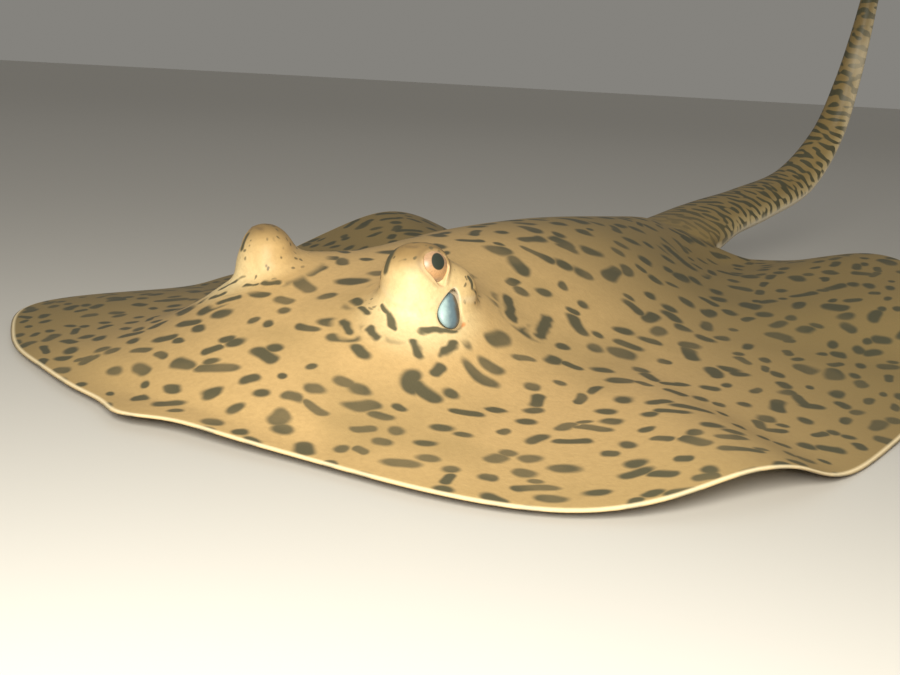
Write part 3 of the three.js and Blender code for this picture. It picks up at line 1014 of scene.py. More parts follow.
    def dress_disc(self, mesh: bpy.types.Mesh) -> None:
        """Store the place on the disc and the tail, the underside, and the pale line of the margins.

        Args:
            mesh: The whole skin.
        """
        p = mesh_places(mesh)
        _, share = self.disc.plan(p[:, 0], p[:, 1])
        tail, gap, radius = self.tail_frame(p)
        on_tail = (1.0 - smooth(gap, *self.on_tail)) * smooth(p[:, 1], *self.tail_root_y)
        paint(mesh, "rim_share", np.where(on_tail > 0.0, blend(share, self.tail_share, on_tail), share))
        paint_vector(mesh, "tail_place", tail)
        paint(mesh, "tail_radius", radius)
        paint(mesh, "tail_part", on_tail)
        down = facing_down(mesh)
        paint(mesh, "under_side", smooth(down, *self.under_turn))
        fin_edge, on_fin = self.pelvic.shares(p)
        edge = smooth(share, *self.edge_share) * (1.0 - smooth(share, *self.edge_end)) * (1.0 - on_fin)
        edge = np.maximum(edge, fin_edge * smooth(share, *self.fin_edge_share))
        edge = edge * (1.0 - smooth(down, *self.edge_turn))
        off_tail = np.where(p[:, 1] > self.off_tail_y, smooth(gap, *self.off_tail), 1.0)
        paint(mesh, "edge_line", edge * off_tail)

    def dress_head(self, mesh: bpy.types.Mesh) -> None:
        """Store the lids, the painted shade of the creases and of the spiracles' hollows, the cream with its
        painted highlight, and the knobs.

        Args:
            mesh: The whole skin.
        """
        p = mesh_places(mesh)
        q = self.head.to_left(p)
        e = self.head.eye.local(q)
        ring = np.hypot(e[:, 1], e[:, 2]) - self.head.eye.lid(e[:, 1], e[:, 2])
        near_eye = (e[:, 0] > self.eye_front) & (np.linalg.norm(e, axis=1) < self.eye_reach[0])
        out, width = self.lid_line
        paint(mesh, "lid", np.where(near_eye, np.exp(-(((ring - out) / width) ** 2)), 0.0))
        # Painted shade in the groove just outside each lid.
        out, width, strength = self.groove_shade
        groove_shade = np.where(near_eye, np.exp(-(((ring - out) / width) ** 2)), 0.0) * strength
        to_fold = np.minimum.reduce([line_distance(q, path) for path in self.head.folds])
        fold_shade = np.exp(-((to_fold / self.fold_width) ** 2))
        # Painted shade in the mouth, the nostrils and the gill slits, where they face down.
        sunk = smooth(self.belly.depth(np.abs(p[:, 0]), p[:, 1]), *self.sunk_depth)
        sunk = sunk * smooth(facing_down(mesh), *self.sunk_turn)
        paint(mesh, "crease_shade", np.maximum(np.maximum(fold_shade, groove_shade), sunk))
        # Painted shade in the spiracles' hollows.
        paint(mesh, "pit_shade", 1.0 - smooth(self.head.spiracle_distance(q), *self.pit_edge))
        centre, radii = np.array(self.cream_and_highlight)
        # The cream mask: the cheeks' pale tone, partly a painted highlight where the light falls on them.
        paint(mesh, "cream_and_highlight", 1.0 - smooth(np.linalg.norm((q - centre) / radii, axis=1), *self.cream_share))
        to_lobe = ellipsoid(q, *self.head.lobe) + self.lobe_set_back
        to_knob = np.minimum(ellipsoid(q, *self.head.knob), to_lobe)
        paint(mesh, "knob", 1.0 - smooth(to_knob, *self.knob_reach))

    def build(self, material: bpy.types.Material) -> bpy.types.Object:
        """Make the skin.

        Args:
            material: Its finish.

        Returns:
            The finished piece.
        """
        body = self.disc_mesh()
        self.shape_head(body)
        self.shape_belly(body)
        LOG.info("head and belly shaped: %d faces", len(body.polygons))
        mesh = self.joined(body, [self.tail_mesh(), *(self.pelvic.fin_mesh(side) for side in Side)])
        self.smooth_seams(mesh)
        self.dress_disc(mesh)
        self.dress_head(mesh)
        return show(mesh, "skin", material)


class Graph:
    """A node tree being written, with short ways to add and join nodes."""

    def __init__(self, tree: bpy.types.NodeTree) -> None:
        """Start writing into a tree."""
        self.tree = tree

    def add(self, kind: str, **settings: object) -> bpy.types.Node:
        """Add a node and set its properties."""
        node = self.tree.nodes.new(kind)
        for name, value in settings.items():
            setattr(node, name, value)
        return node

    def feed(self, socket: Socket, value: Feed) -> None:
        """Join a socket to another, or give it a plain value."""
        if isinstance(value, Socket):
            self.tree.links.new(value, socket)
        elif value is not None:
            socket.default_value = value

    def math(self, operation: str, a: Feed, b: Feed = None) -> Socket:
        """Return the result of a Math node."""
        node = self.add("ShaderNodeMath", operation=operation)
        self.feed(node.inputs[0], a)
        self.feed(node.inputs[1], b)
        return node.outputs[0]

    def vector(self, operation: str, a: Feed, b: Feed = None, scale: Feed = None) -> Socket:
        """Return the vector result of a Vector Math node."""
        node = self.add("ShaderNodeVectorMath", operation=operation)
        self.feed(node.inputs[0], a)
        self.feed(node.inputs[1], b)
        self.feed(node.inputs[3], scale)
        return node.outputs["Vector"]

    def dot(self, a: Feed, b: Feed) -> Socket:
        """Return the dot product of two vectors."""
        node = self.add("ShaderNodeVectorMath", operation="DOT_PRODUCT")
        self.feed(node.inputs[0], a)
        self.feed(node.inputs[1], b)
        return node.outputs["Value"]

    def ramp(
        self, value: Feed, low: float, high: float, to_low: float = 0.0, to_high: float = 1.0
    ) -> Socket:
        """Carry a value smoothly from one range to another and hold it at its ends.

        Args:
            value: The value.
            low: Where its range starts, which may be above high.
            high: Where its range ends.
            to_low: The result at low.
            to_high: The result at high.

        Returns:
            The result.
        """
        node = self.add("ShaderNodeMapRange", interpolation_type="SMOOTHSTEP")
        for name, number in (
            ("Value", value), ("From Min", low), ("From Max", high), ("To Min", to_low), ("To Max", to_high),
        ):
            self.feed(node.inputs[name], number)
        return node.outputs["Result"]

    def mix(self, share: Feed, a: Feed, b: Feed) -> Socket:
        """Return the mix of two colours; a plain one is given in 0 to 255."""
        node = self.add("ShaderNodeMix", data_type="RGBA")
        self.feed(node.inputs["Factor"], share)
        self.feed(node.inputs[6], rgba(a) if isinstance(a, tuple) else a)
        self.feed(node.inputs[7], rgba(b) if isinstance(b, tuple) else b)
        return node.outputs[2]

    def noise(self, at: Feed, scale: float, detail: float = 2.0, rough: float = 0.5) -> Socket:
        """Return a noise pattern's value."""
        node = self.add("ShaderNodeTexNoise")
        for name, value in (("Vector", at), ("Scale", scale), ("Detail", detail), ("Roughness", rough)):
            self.feed(node.inputs[name], value)
        return node.outputs["Fac"]

    def bump(self, shader: bpy.types.Node, height: Feed, strength: float, distance: float) -> None:
        """Give a shader a fine relief.

        Args:
            shader: The surface shader.
            height: The pattern of the relief.
            strength: How strongly it shows, 0 to 1.
            distance: Its depth, in metres.
        """
        node = self.add("ShaderNodeBump")
        for name, value in (("Strength", strength), ("Distance", distance), ("Height", height)):
            self.feed(node.inputs[name], value)
        self.feed(shader.inputs["Normal"], node.outputs["Normal"])

    def attribute(self, name: str, output: str = "Fac") -> Socket:
        """Return a stored number or vector of the mesh."""
        return self.add("ShaderNodeAttribute", attribute_name=name).outputs[output]

    def millimetres(self) -> Socket:
        """Return the place on the object in millimetres."""
        return self.vector("SCALE", self.add("ShaderNodeTexCoord").outputs["Object"], scale=1.0 / MM)

    def parts(self, at: Feed) -> tuple[Socket, ...]:
        """Return a vector's three numbers."""
        node = self.add("ShaderNodeSeparateXYZ")
        self.feed(node.inputs[0], at)
        return tuple(node.outputs)

    def whole(self, x: Feed, y: Feed, z: Feed = 0.0) -> Socket:
        """Return a vector made of three numbers."""
        node = self.add("ShaderNodeCombineXYZ")
        for socket, value in zip(node.inputs, (x, y, z)):
            self.feed(socket, value)
        return node.outputs[0]


def rgba(colour: Triple) -> tuple[float, float, float, float]:
    """Return a linear colour from an sRGB one given in 0 to 255, with full alpha."""
    linear = [(c / 255.0 / 12.92) if c <= 10 else ((c / 255.0 + 0.055) / 1.055) ** 2.4 for c in colour]
    return (*linear, 1.0)


def new_material(name: str) -> tuple[bpy.types.Material, Graph, bpy.types.Node]:
    """Make a material.

    Args:
        name: Its name.

    Returns:
        The material, the graph to write in and its surface shader.
    """
    mat = bpy.data.materials.new(name)
    mat.use_nodes = True
    return mat, Graph(mat.node_tree), mat.node_tree.nodes["Principled BSDF"]


def make_group(
    name: str, inputs: dict[str, str], outputs: dict[str, str]
) -> tuple[bpy.types.NodeTree, Graph, bpy.types.Node, bpy.types.Node]:
    """Make a shader node group.

    Args:
        name: The group's name.
        inputs: The socket types of its inputs, by name.
        outputs: The socket types of its outputs, by name.

    Returns:
        The group, the graph to write in, the group input node and the group output node.
    """
    group = bpy.data.node_groups.new(name, "ShaderNodeTree")
    for way, sockets in (("INPUT", inputs), ("OUTPUT", outputs)):
        for label, kind in sockets.items():
            group.interface.new_socket(label, in_out=way, socket_type=kind)
    graph = Graph(group)
    return group, graph, graph.add("NodeGroupInput"), graph.add("NodeGroupOutput")


def gabor(graph: Graph, at: Feed, wave: float, turn: float, sharp: float, bandwidth: float) -> Socket:
    """Lay flat oriented noise.

    Args:
        graph: The graph to write in.
        at: The place, in millimetres.
        wave: The distance between marks, in millimetres.
        turn: The direction across the marks, in radians.
        sharp: How closely the marks keep that direction, 0 to 1.
        bandwidth: How many waves a patch holds.

    Returns:
        The noise, about 0.5 in the middle.
    """
    node = graph.add("ShaderNodeTexGabor", gabor_type="2D")
    for name, value in (
        ("Vector", at), ("Scale", 1.0 / (wave * bandwidth)), ("Frequency", bandwidth),
        ("Anisotropy", sharp), ("Orientation", turn),
    ):
        graph.feed(node.inputs[name], value)
    return node.outputs["Value"]


@dataclass(frozen=True)
class SkinFinish:
    """The skin: sand ground, slate marks, cream head partly painted as a highlight, pale edge and belly, with
    painted shade to the rear, on the knobs' crowns, in creases and in hollows.

    A placed mark is a short stroke: its two ends and its radius in millimetres. Both knobs have the placed
    marks of the left one, and each of the one-sided marks is on its own knob only. Two of the one-sided
    strokes draw the dark crescent on the left knob's inner side, partly a mark and partly painted shade in
    the fold beside it.
    """

    sand: Triple = (204, 170, 115)
    # Darker sand for the random patches, and the painted shade towards the rear.
    sand_dark_and_shade: Triple = (140, 120, 76)
    # Cream: the cheeks' pale tone with its painted highlight, and the tail's pale flanks.
    cream_and_highlight: Triple = (244, 222, 170)
    mark: Triple = (70, 71, 54)
    edge: Triple = (238, 218, 176)
    belly: Triple = (232, 218, 190)
    tail_dark: Triple = (58, 52, 42)
    grain: Triple = (150, 122, 78)
    belly_edge: Triple = (146, 126, 96)
    # Brown for the knobs' crowns: painted shade where their tops face up, away from the light.
    crown_shade: Triple = (138, 112, 70)
    lid: Triple = (214, 178, 134)
    # The painted shade in the folds, the lid grooves and the belly's hollows.
    fold_shade: Triple = (112, 92, 66)
    # The painted shade in the spiracles' hollows.
    pit_shade: Triple = (122, 98, 76)
    lip: Triple = (214, 132, 76)
    roughness: float = 0.48
    specular: float = 0.3

    mark_strength: float = 0.92
    mark_spacing: float = 13.0
    mark_spread: float = 2.8
    mark_length: float = 3.9
    mark_radius: float = 3.0
    mark_ends: tuple[float, float] = (1.4, 0.65)
    mark_sizes: tuple[float, float] = (0.7, 1.08)
    scatter: float = 0.75
    crowding: float = 0.24
    wanders: tuple[tuple[float, float], ...] = ((0.045, 8.0), (0.12, 2.4))
    dot_scale: float = 0.3
    dot_reach: float = 0.22
    dot_strength: float = 0.8
    dot_clear_of_cream: tuple[float, float] = (0.75, 0.45)
    dot_knob: tuple[float, float] = (0.5, 0.95)
    clear_knob: tuple[float, float] = (0.1, 0.5)
    dot_shake: float = 3.0
    stroke_shake: float = 2.0
    shake_scale: float = 0.3
    bar_wave: float = 8.0
    bar_cut: tuple[float, float] = (0.49, 0.56)
    bar_power: float = 1.15
    bar_squeeze: float = 0.55
    bar_start: tuple[float, float] = (40.0, 90.0)
    bar_least: float = 0.6

    # The painted shade of the light's falloff grows with the distance from this place on the head.
    head_at: Triple = (40.0, -100.0, 25.0)
    shade_falloff: tuple[float, float] = (30.0, 170.0)
    patch_scale: float = 0.018
    patch_span: tuple[float, float] = (0.45, 0.75)
    patch_strength: float = 0.5
    cream_and_highlight_strength: float = 0.85
    crown_shade_heights: tuple[float, float] = (38.0, 45.0)
    crown_shade_strength: float = 0.9
    grain_scale: float = 0.55
    grain_span: tuple[float, float] = (0.3, 0.75)
    grain_strength: float = 0.22
    flank_rise: tuple[float, float] = (0.75, -0.3)
    flank_start: tuple[float, float] = (50.0, 90.0)
    flank_strength: float = 0.7
    tip_span: tuple[float, float] = (190.0, 400.0)
    tip_strength: float = 0.85
    belly_edge_share: tuple[float, float] = (0.86, 0.98)

    placed_marks: tuple[tuple[Triple, Triple, float], ...] = (
        ((43.7, -103.6, 23.4), (49.0, -94.0, 22.6), 1.0),
        ((29.8, -105.0, 28.4), (32.8, -106.2, 26.3), 0.7),
        ((32.8, -106.2, 26.3), (37.3, -108.7, 23.6), 0.9),
        ((22.8, -114.4, 23.6), (27.6, -117.2, 21.7), 1.4),
        ((17.0, -103.4, 28.0), (20.2, -105.0, 27.4), 1.4),
        ((22.4, -106.8, 26.8), (26.3, -108.4, 26.0), 0.9),
        ((32.2, -113.0, 23.0), (35.6, -114.4, 21.3), 1.3),
        ((44.6, -108.2, 20.5), (48.4, -110.1, 17.6), 1.3),
        ((51.5, -97.5, 20.5), (51.5, -104.0, 16.8), 1.3),
        ((30.9, 83.1, 29.1), (44.0, 79.6, 23.2), 3.0),
        ((44.0, -81.9, 36.4), (45.8, -81.6, 33.5), 0.65),
        ((45.8, -81.6, 33.5), (45.8, -78.1, 30.0), 0.65),
        ((52.2, -47.6, 20.4), (57.5, -60.4, 17.7), 1.9),
        ((41.1, -55.3, 26.3), (49.4, -64.9, 22.4), 1.9),
    )
    one_sided_marks_and_shade: tuple[tuple[Triple, Triple, float], ...] = (
        # These two draw the dark crescent on the left knob's inner side: partly a mark, partly painted shade
        # in the fold beside the knob.
        ((27.0, -98.2, 44.9), (28.0, -100.7, 42.4), 1.5),
        ((28.0, -100.7, 42.4), (28.2, -103.2, 38.8), 1.3),
        ((-34.0, -102.6, 37.0), (-35.1, -99.6, 41.0), 1.1),
    )
    lip_line: tuple[Triple, Triple, float] = ((47.2, -92.6, 23.6), (47.9, -89.6, 24.0), 0.9)

    @staticmethod
    def stroke_group() -> bpy.types.NodeTree:
        """Make the group that draws one short soft stroke between two places.

        Returns:
            The group, which puts out the stroke's mask and that of the clear skin round it.
        """
        group, g, given, out = make_group(
            "short_stroke",
            {"Place": "NodeSocketVector", "Start": "NodeSocketVector", "End": "NodeSocketVector",
             "Radius": "NodeSocketFloat"},
            {"Mark": "NodeSocketFloat", "Near": "NodeSocketFloat"},
        )
        start = given.outputs["Start"]
        off = g.vector("SUBTRACT", given.outputs["Place"], start)
        line = g.vector("SUBTRACT", given.outputs["End"], start)
        share = g.math("DIVIDE", g.dot(off, line), g.dot(line, line))
        share = g.math("MINIMUM", g.math("MAXIMUM", share, 0.0), 1.0)
        gap = g.vector("SUBTRACT", off, g.vector("SCALE", line, scale=share))
        away = g.math("SQRT", g.dot(gap, gap))
        ratio = g.math("DIVIDE", away, given.outputs["Radius"])
        g.feed(out.inputs["Mark"], g.ramp(ratio, 1.6, 0.6))
        g.feed(out.inputs["Near"], g.ramp(ratio, 3.4, 1.6))
        return group

    @staticmethod
    def stroke(
        g: Graph, group: bpy.types.NodeTree, at: Feed, start: Triple, end: Triple, radius: float
    ) -> bpy.types.bpy_prop_collection:
        """Draw one short stroke.

        Args:
            g: The graph to write in.
            group: The group of one stroke.
            at: The place, in millimetres.
            start: One end of the stroke.
            end: Its other end.
            radius: Half its width.

        Returns:
            The masks of the stroke and of the clear skin round it.
        """
        node = g.add("ShaderNodeGroup", node_tree=group)
        for name, value in (("Place", at), ("Start", start), ("End", end), ("Radius", radius)):
            g.feed(node.inputs[name], value)
        return node.outputs

    def cells_group(self) -> bpy.types.NodeTree:
        """Make the group that lays one short round-ended mark in each cell of a scattered net.

        Returns:
            The group, which puts out the marks' mask.
        """
        group, g, given, out = make_group(
            "scattered_marks",
            {"Place": "NodeSocketVector", "Spacing": "NodeSocketFloat", "Turn": "NodeSocketFloat",
             "Spread": "NodeSocketFloat", "Length": "NodeSocketFloat", "Radius": "NodeSocketFloat"},
            {"Mark": "NodeSocketFloat"},
        )
        masks = []
        for feature in ("F1", "F2"):
            cell = g.add("ShaderNodeTexVoronoi", voronoi_dimensions="2D", feature=feature)
            g.feed(cell.inputs["Vector"], given.outputs["Place"])
            g.feed(cell.inputs["Scale"], g.math("DIVIDE", 1.0, given.outputs["Spacing"]))
            g.feed(cell.inputs["Randomness"], self.scatter)
            off_x, off_y, _ = g.parts(g.vector("SUBTRACT", given.outputs["Place"], cell.outputs["Position"]))
            chance = g.add("ShaderNodeSeparateColor")
            g.feed(chance.inputs[0], cell.outputs["Color"])
            one, two, three = chance.outputs
            swing = g.math("MULTIPLY", g.math("SUBTRACT", one, 0.5), given.outputs["Spread"])
            turn = g.math("ADD", given.outputs["Turn"], swing)
            cos, sin = g.math("COSINE", turn), g.math("SINE", turn)
            along = g.math("ADD", g.math("MULTIPLY", off_x, cos), g.math("MULTIPLY", off_y, sin))
            across = g.math("SUBTRACT", g.math("MULTIPLY", off_y, cos), g.math("MULTIPLY", off_x, sin))
            half = g.math("MULTIPLY", given.outputs["Length"], g.math("POWER", two, 2.0))
            past = g.math("MAXIMUM", g.math("SUBTRACT", g.math("ABSOLUTE", along), half), 0.0)
            away = g.math("SQRT", g.math("ADD", g.math("POWER", past, 2.0), g.math("POWER", across, 2.0)))
            size = g.math("MULTIPLY", given.outputs["Radius"], g.ramp(three, 0.0, 0.7, *self.mark_sizes))
            masks.append(g.ramp(g.math("DIVIDE", away, size), *self.mark_ends))
        g.feed(out.inputs["Mark"], g.math("MAXIMUM", *masks))
        return group

    def marks_group(self) -> bpy.types.NodeTree:
        """Make the group that lays the disc's marks along the margin.

        Returns:
            The group, which puts out the marks' mask.
        """
        group, g, given, out = make_group(
            "margin_marks",
            {"Place": "NodeSocketVector", "Share": "NodeSocketFloat"},
            {"Mark": "NodeSocketFloat"},
        )
        x, y, _ = g.parts(given.outputs["Place"])
        turn = g.math("ARCTAN2", x, g.math("MULTIPLY", y, -0.6))
        crowd = g.math("MULTIPLY", g.math("POWER", given.outputs["Share"], 2.0), self.crowding)
        at = g.vector("SCALE", g.whole(x, y), scale=g.math("ADD", 1.0, crowd))
        for scale, reach in self.wanders:
            wander = g.add("ShaderNodeTexNoise", noise_dimensions="2D")
            g.feed(wander.inputs["Vector"], given.outputs["Place"])
            g.feed(wander.inputs["Scale"], scale)
            g.feed(wander.inputs["Detail"], 0.0)
            centred = g.vector("SUBTRACT", wander.outputs["Color"], (0.5, 0.5, 0.5))
            at = g.vector("ADD", at, g.vector("SCALE", centred, scale=reach))
        node = g.add("ShaderNodeGroup", node_tree=self.cells_group())
        for name, value in (
            ("Place", at), ("Turn", turn), ("Spacing", self.mark_spacing), ("Spread", self.mark_spread),
            ("Length", self.mark_length), ("Radius", self.mark_radius),
        ):
            g.feed(node.inputs[name], value)
        g.feed(out.inputs["Mark"], node.outputs["Mark"])
        return group

    def shake(self, g: Graph, at: Feed) -> Socket:
        """Return a small wandering offset, the same for all that reads it."""
        wobble = g.add("ShaderNodeTexNoise")
        g.feed(wobble.inputs["Vector"], at)
        g.feed(wobble.inputs["Scale"], self.shake_scale)
        g.feed(wobble.inputs["Detail"], 0.0)
        return g.vector("SUBTRACT", wobble.outputs["Color"], (0.5, 0.5, 0.5))

    def ground(self, g: Graph, at: Feed) -> Socket:
        """Mix the colour between the marks.

        Args:
            g: The graph to write in.
            at: The place, in millimetres.

        Returns:
            Sand, darker in patches and, as painted shade of the light's falloff, to the rear; cream on the
            head, partly a painted highlight; brown on the knobs' crowns as painted shade.
        """
        from_head = g.vector("SUBTRACT", at, self.head_at)
        # Painted shade: the sand darkens away from the head, standing in for the light falling off towards
        # the rear.
        rear = g.ramp(g.math("SQRT", g.dot(from_head, from_head)), *self.shade_falloff)
        patch = g.ramp(g.noise(at, self.patch_scale, 3.0), *self.patch_span, 0.0, self.patch_strength)
        ground = g.mix(g.math("MAXIMUM", patch, rear), self.sand, self.sand_dark_and_shade)
        # Cream on the cheeks: partly the skin's pale tone, partly a painted highlight where the light falls
        # on them.
        cream_and_highlight = g.math("MULTIPLY", g.attribute("cream_and_highlight"), self.cream_and_highlight_strength)
        ground = g.mix(cream_and_highlight, ground, self.cream_and_highlight)
        # Painted shade: the knobs' crowns, facing up, turn browner, as the light falls mostly on faces turned
        # to the front.
        high = g.ramp(g.parts(at)[2], *self.crown_shade_heights, 0.0, self.crown_shade_strength)
        ground = g.mix(g.math("MULTIPLY", g.attribute("knob"), high), ground, self.crown_shade)
        grain = g.noise(at, self.grain_scale, 3.0, 0.7)
        return g.mix(g.ramp(grain, *self.grain_span, 0.0, self.grain_strength), ground, self.grain)

    def tail_tones(self, g: Graph, ground: Feed) -> Socket:
        """Tone the tail.

        Args:
            g: The graph to write in.
            ground: The colour between the marks.

        Returns:
            The same, paler on the tail's flanks and darker towards its tip.
        """
        on_tail = g.attribute("tail_part")
        _, along, rise = g.parts(g.attribute("tail_place", "Vector"))
        flank = g.math("MULTIPLY", on_tail, g.ramp(along, *self.flank_start))
        flank = g.math("MULTIPLY", g.ramp(rise, *self.flank_rise), flank)
        ground = g.mix(g.math("MULTIPLY", flank, self.flank_strength), ground, self.cream_and_highlight)
        tip = g.math("MULTIPLY", g.ramp(along, *self.tip_span, 0.0, self.tip_strength), on_tail)
        return g.mix(tip, ground, self.tail_dark)

    def tail_bars(self, g: Graph) -> Socket:
        """Lay the netted bars round the tail.

        Args:
            g: The graph to write in.

        Returns:
            The mask of the bars.
        """
        across, along, rise = g.parts(g.attribute("tail_place", "Vector"))
        round_tail = g.math("MULTIPLY", g.math("ARCTAN2", across, rise), g.attribute("tail_radius"))
        squeeze = g.math("MULTIPLY", g.math("POWER", along, self.bar_power), self.bar_squeeze)
        net = gabor(g, g.whole(round_tail, squeeze), self.bar_wave, math.pi / 2.0, 0.5, 1.1)
        bars = g.math("MULTIPLY", g.ramp(net, *self.bar_cut), g.attribute("tail_part"))
        return g.math("MULTIPLY", bars, g.ramp(along, *self.bar_start, self.bar_least, 1.0))

    def dots(self, g: Graph, at: Feed) -> Socket:
        """Lay the small dots on the knobs.

        Args:
            g: The graph to write in.
            at: The place, in millimetres, a little shaken.

        Returns:
            The mask of the dots, which leave the cream clear.
        """
        speck = g.add("ShaderNodeTexVoronoi", feature="F1")
        g.feed(speck.inputs["Vector"], at)
        g.feed(speck.inputs["Scale"], self.dot_scale)
        outer, inner = self.dot_reach * 1.3, self.dot_reach * 0.6
        dots = g.ramp(speck.outputs["Distance"], outer, inner, 0.0, self.dot_strength)
        dots = g.math("MULTIPLY", dots, g.ramp(g.attribute("cream_and_highlight"), *self.dot_clear_of_cream))
        return g.math("MULTIPLY", dots, g.ramp(g.attribute("knob"), *self.dot_knob))

    def all_marks(self, g: Graph, at: Feed, left_at: Feed, shake: Feed, group: bpy.types.NodeTree) -> Socket:
        """Lay the scattered marks, the placed ones, the tail's bars and the knobs' dots.

        Args:
            g: The graph to write in.
            at: The place, in millimetres.
            left_at: The place mirrored to the left, a little shaken.
            shake: The wandering offset.
            group: The group of one stroke.

        Returns:
            The mask of them all.
        """
        marks = g.add("ShaderNodeGroup", node_tree=self.marks_group())
        g.feed(marks.inputs["Place"], at)
        g.feed(marks.inputs["Share"], g.attribute("rim_share"))
        strokes = [self.stroke(g, group, left_at, *placed) for placed in self.placed_marks]
        # The one-sided strokes include the crescent on the left knob, partly a mark and partly painted shade.
        strokes += [self.stroke(g, group, at, *placed) for placed in self.one_sided_marks_and_shade]
        placed_mark, clear = 0.0, 0.0
        for mark, near in strokes:
            placed_mark = g.math("MAXIMUM", placed_mark, mark)
            clear = g.math("MAXIMUM", clear, near)
        clear = g.math("MAXIMUM", clear, g.ramp(g.attribute("knob"), *self.clear_knob))
        faint = g.ramp(g.noise(at, 0.05, 1.0), 0.3, 0.55, 0.82, 1.0)
        spot = g.math("MULTIPLY", marks.outputs["Mark"], g.math("SUBTRACT", 1.0, clear))
        off_tail = g.math("SUBTRACT", 1.0, g.attribute("tail_part"))
        spot = g.math("MULTIPLY", g.math("MULTIPLY", spot, faint), off_tail)
        dots = self.dots(g, g.vector("ADD", at, g.vector("SCALE", shake, scale=self.dot_shake)))
        for mask in (self.tail_bars(g), placed_mark, dots):
            spot = g.math("MAXIMUM", spot, mask)
        return spot

    def material(self) -> bpy.types.Material:
        """Make the skin's material.

        Returns:
            The material, layered from the ground up to the lip of the spiracle.
        """
        mat, g, shader = new_material("ray_skin")
        at = g.millimetres()
        x, y, z = g.parts(at)
        shake = self.shake(g, at)
        mirrored = g.whole(g.math("ABSOLUTE", x), y, z)
        left_at = g.vector("ADD", mirrored, g.vector("SCALE", shake, scale=self.stroke_shake))
        group = self.stroke_group()
        marks = self.all_marks(g, at, left_at, shake, group)
        ground = self.tail_tones(g, self.ground(g, at))
        colour = g.mix(g.math("MULTIPLY", marks, self.mark_strength), ground, self.mark)
        rim = g.ramp(g.attribute("rim_share"), *self.belly_edge_share)
        colour = g.mix(g.attribute("under_side"), colour, g.mix(rim, self.belly, self.belly_edge))
        lip, _ = self.stroke(g, group, left_at, *self.lip_line)
        # The last layers include painted shade: the crease mask in folds, grooves and hollows, and the pit
        # mask in the spiracles' hollows.
        for mask, strength, tone in (
            (g.attribute("edge_line"), 1.0, self.edge),
            (g.attribute("lid"), 0.75, self.lid),
            (g.attribute("crease_shade"), 0.6, self.fold_shade),
            (g.attribute("pit_shade"), 0.9, self.pit_shade),
            (lip, 0.8, self.lip),
        ):
            colour = g.mix(g.math("MULTIPLY", mask, strength), colour, tone)
        g.feed(shader.inputs["Base Color"], colour)
        g.feed(shader.inputs["Roughness"], self.roughness)
        g.feed(shader.inputs["Specular IOR Level"], self.specular)
        g.bump(shader, g.noise(at, 0.9, 3.0, 0.6), 0.3, 0.0004)
        return mat


def show(mesh: bpy.types.Mesh, name: str, material: bpy.types.Material) -> bpy.types.Object:
    """Turn a mesh in millimetres into a finished piece in metres.

    Args:
        mesh: The mesh.
        name: The piece's name.
        material: Its finish.

    Returns:
        The piece, smooth, riding on the model's body.
    """
    mesh.name = name
    mesh.transform(Matrix.Scale(MM, 4))
    mesh.shade_smooth()
    mesh.materials.append(material)
    piece = bpy.data.objects.new(name, mesh)
    bpy.context.scene.collection.objects.link(piece)
    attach(piece, "root")
    LOG.info("%s: %d triangles", name, sum(len(f.vertices) - 2 for f in mesh.polygons))
    return piece


@dataclass(frozen=True)
class EyeFinish:
    """A copper iris round a dark pupil, under a wet coat."""

    pupil: Triple = (48, 54, 46)
    copper: Triple = (204, 160, 114)
    rose: Triple = (184, 148, 114)
    grey: Triple = (168, 146, 122)
    outer: Triple = (112, 84, 62)
    pupil_radius: float = 0.385
    pupil_raise: float = 0.2
    pupil_lean: float = 0.35
    pupil_narrowing: float = 1.25
    pupil_scale: float = 0.93
    pupil_edge: tuple[float, float] = (0.03, -0.02)
    copper_span: tuple[float, float] = (0.15, -0.2)
    grey_span: tuple[float, float] = (-0.4, -0.75)
    streak_span: tuple[float, float] = (0.35, 0.75)
    streak_strength: float = 0.4
    rim_span: tuple[float, float] = (0.74, 0.92)
    rim_strength: float = 0.8
    roughness: float = 0.36

    def material(self) -> bpy.types.Material:
        """Make the eye's material.

        Returns:
            The material, which reads the place on the ball: ahead, up and front.
        """
        mat, g, shader = new_material("ray_eye")
        ahead, up, front = g.parts(g.attribute("eye_place", "Vector"))
        raised = g.math("SUBTRACT", up, self.pupil_raise)
        lean = g.math("SUBTRACT", raised, g.math("MULTIPLY", front, self.pupil_lean))
        cross = g.math("ADD", front, g.math("MULTIPLY", raised, self.pupil_lean))
        narrow = g.math("MULTIPLY", g.math("POWER", cross, 2.0), self.pupil_narrowing)
        squares = g.math("ADD", g.math("POWER", lean, 2.0), narrow)
        away = g.math("MULTIPLY", g.math("SQRT", squares), self.pupil_scale)
        turn = g.math("ARCTAN2", raised, front)
        streak = g.noise(g.whole(g.math("MULTIPLY", turn, 4.0), g.math("MULTIPLY", away, 3.0)), 2.5, 3.0, 0.7)
        iris = g.mix(g.ramp(up, *self.copper_span), self.rose, self.copper)
        iris = g.mix(g.ramp(up, *self.grey_span), iris, self.grey)
        iris = g.mix(g.ramp(streak, *self.streak_span, 0.0, self.streak_strength), iris, self.outer)
        rim = g.math("SQRT", g.math("SUBTRACT", 1.0, g.math("POWER", ahead, 2.0)))
        iris = g.mix(g.ramp(rim, *self.rim_span, 0.0, self.rim_strength), iris, self.outer)
        seen = g.ramp(away, *(self.pupil_radius + past for past in self.pupil_edge))
        outside = g.ramp(ahead, 0.0, 0.1)
        g.feed(shader.inputs["Base Color"], g.mix(g.math("MULTIPLY", seen, outside), iris, self.pupil))
        g.feed(shader.inputs["Roughness"], self.roughness)
        return mat


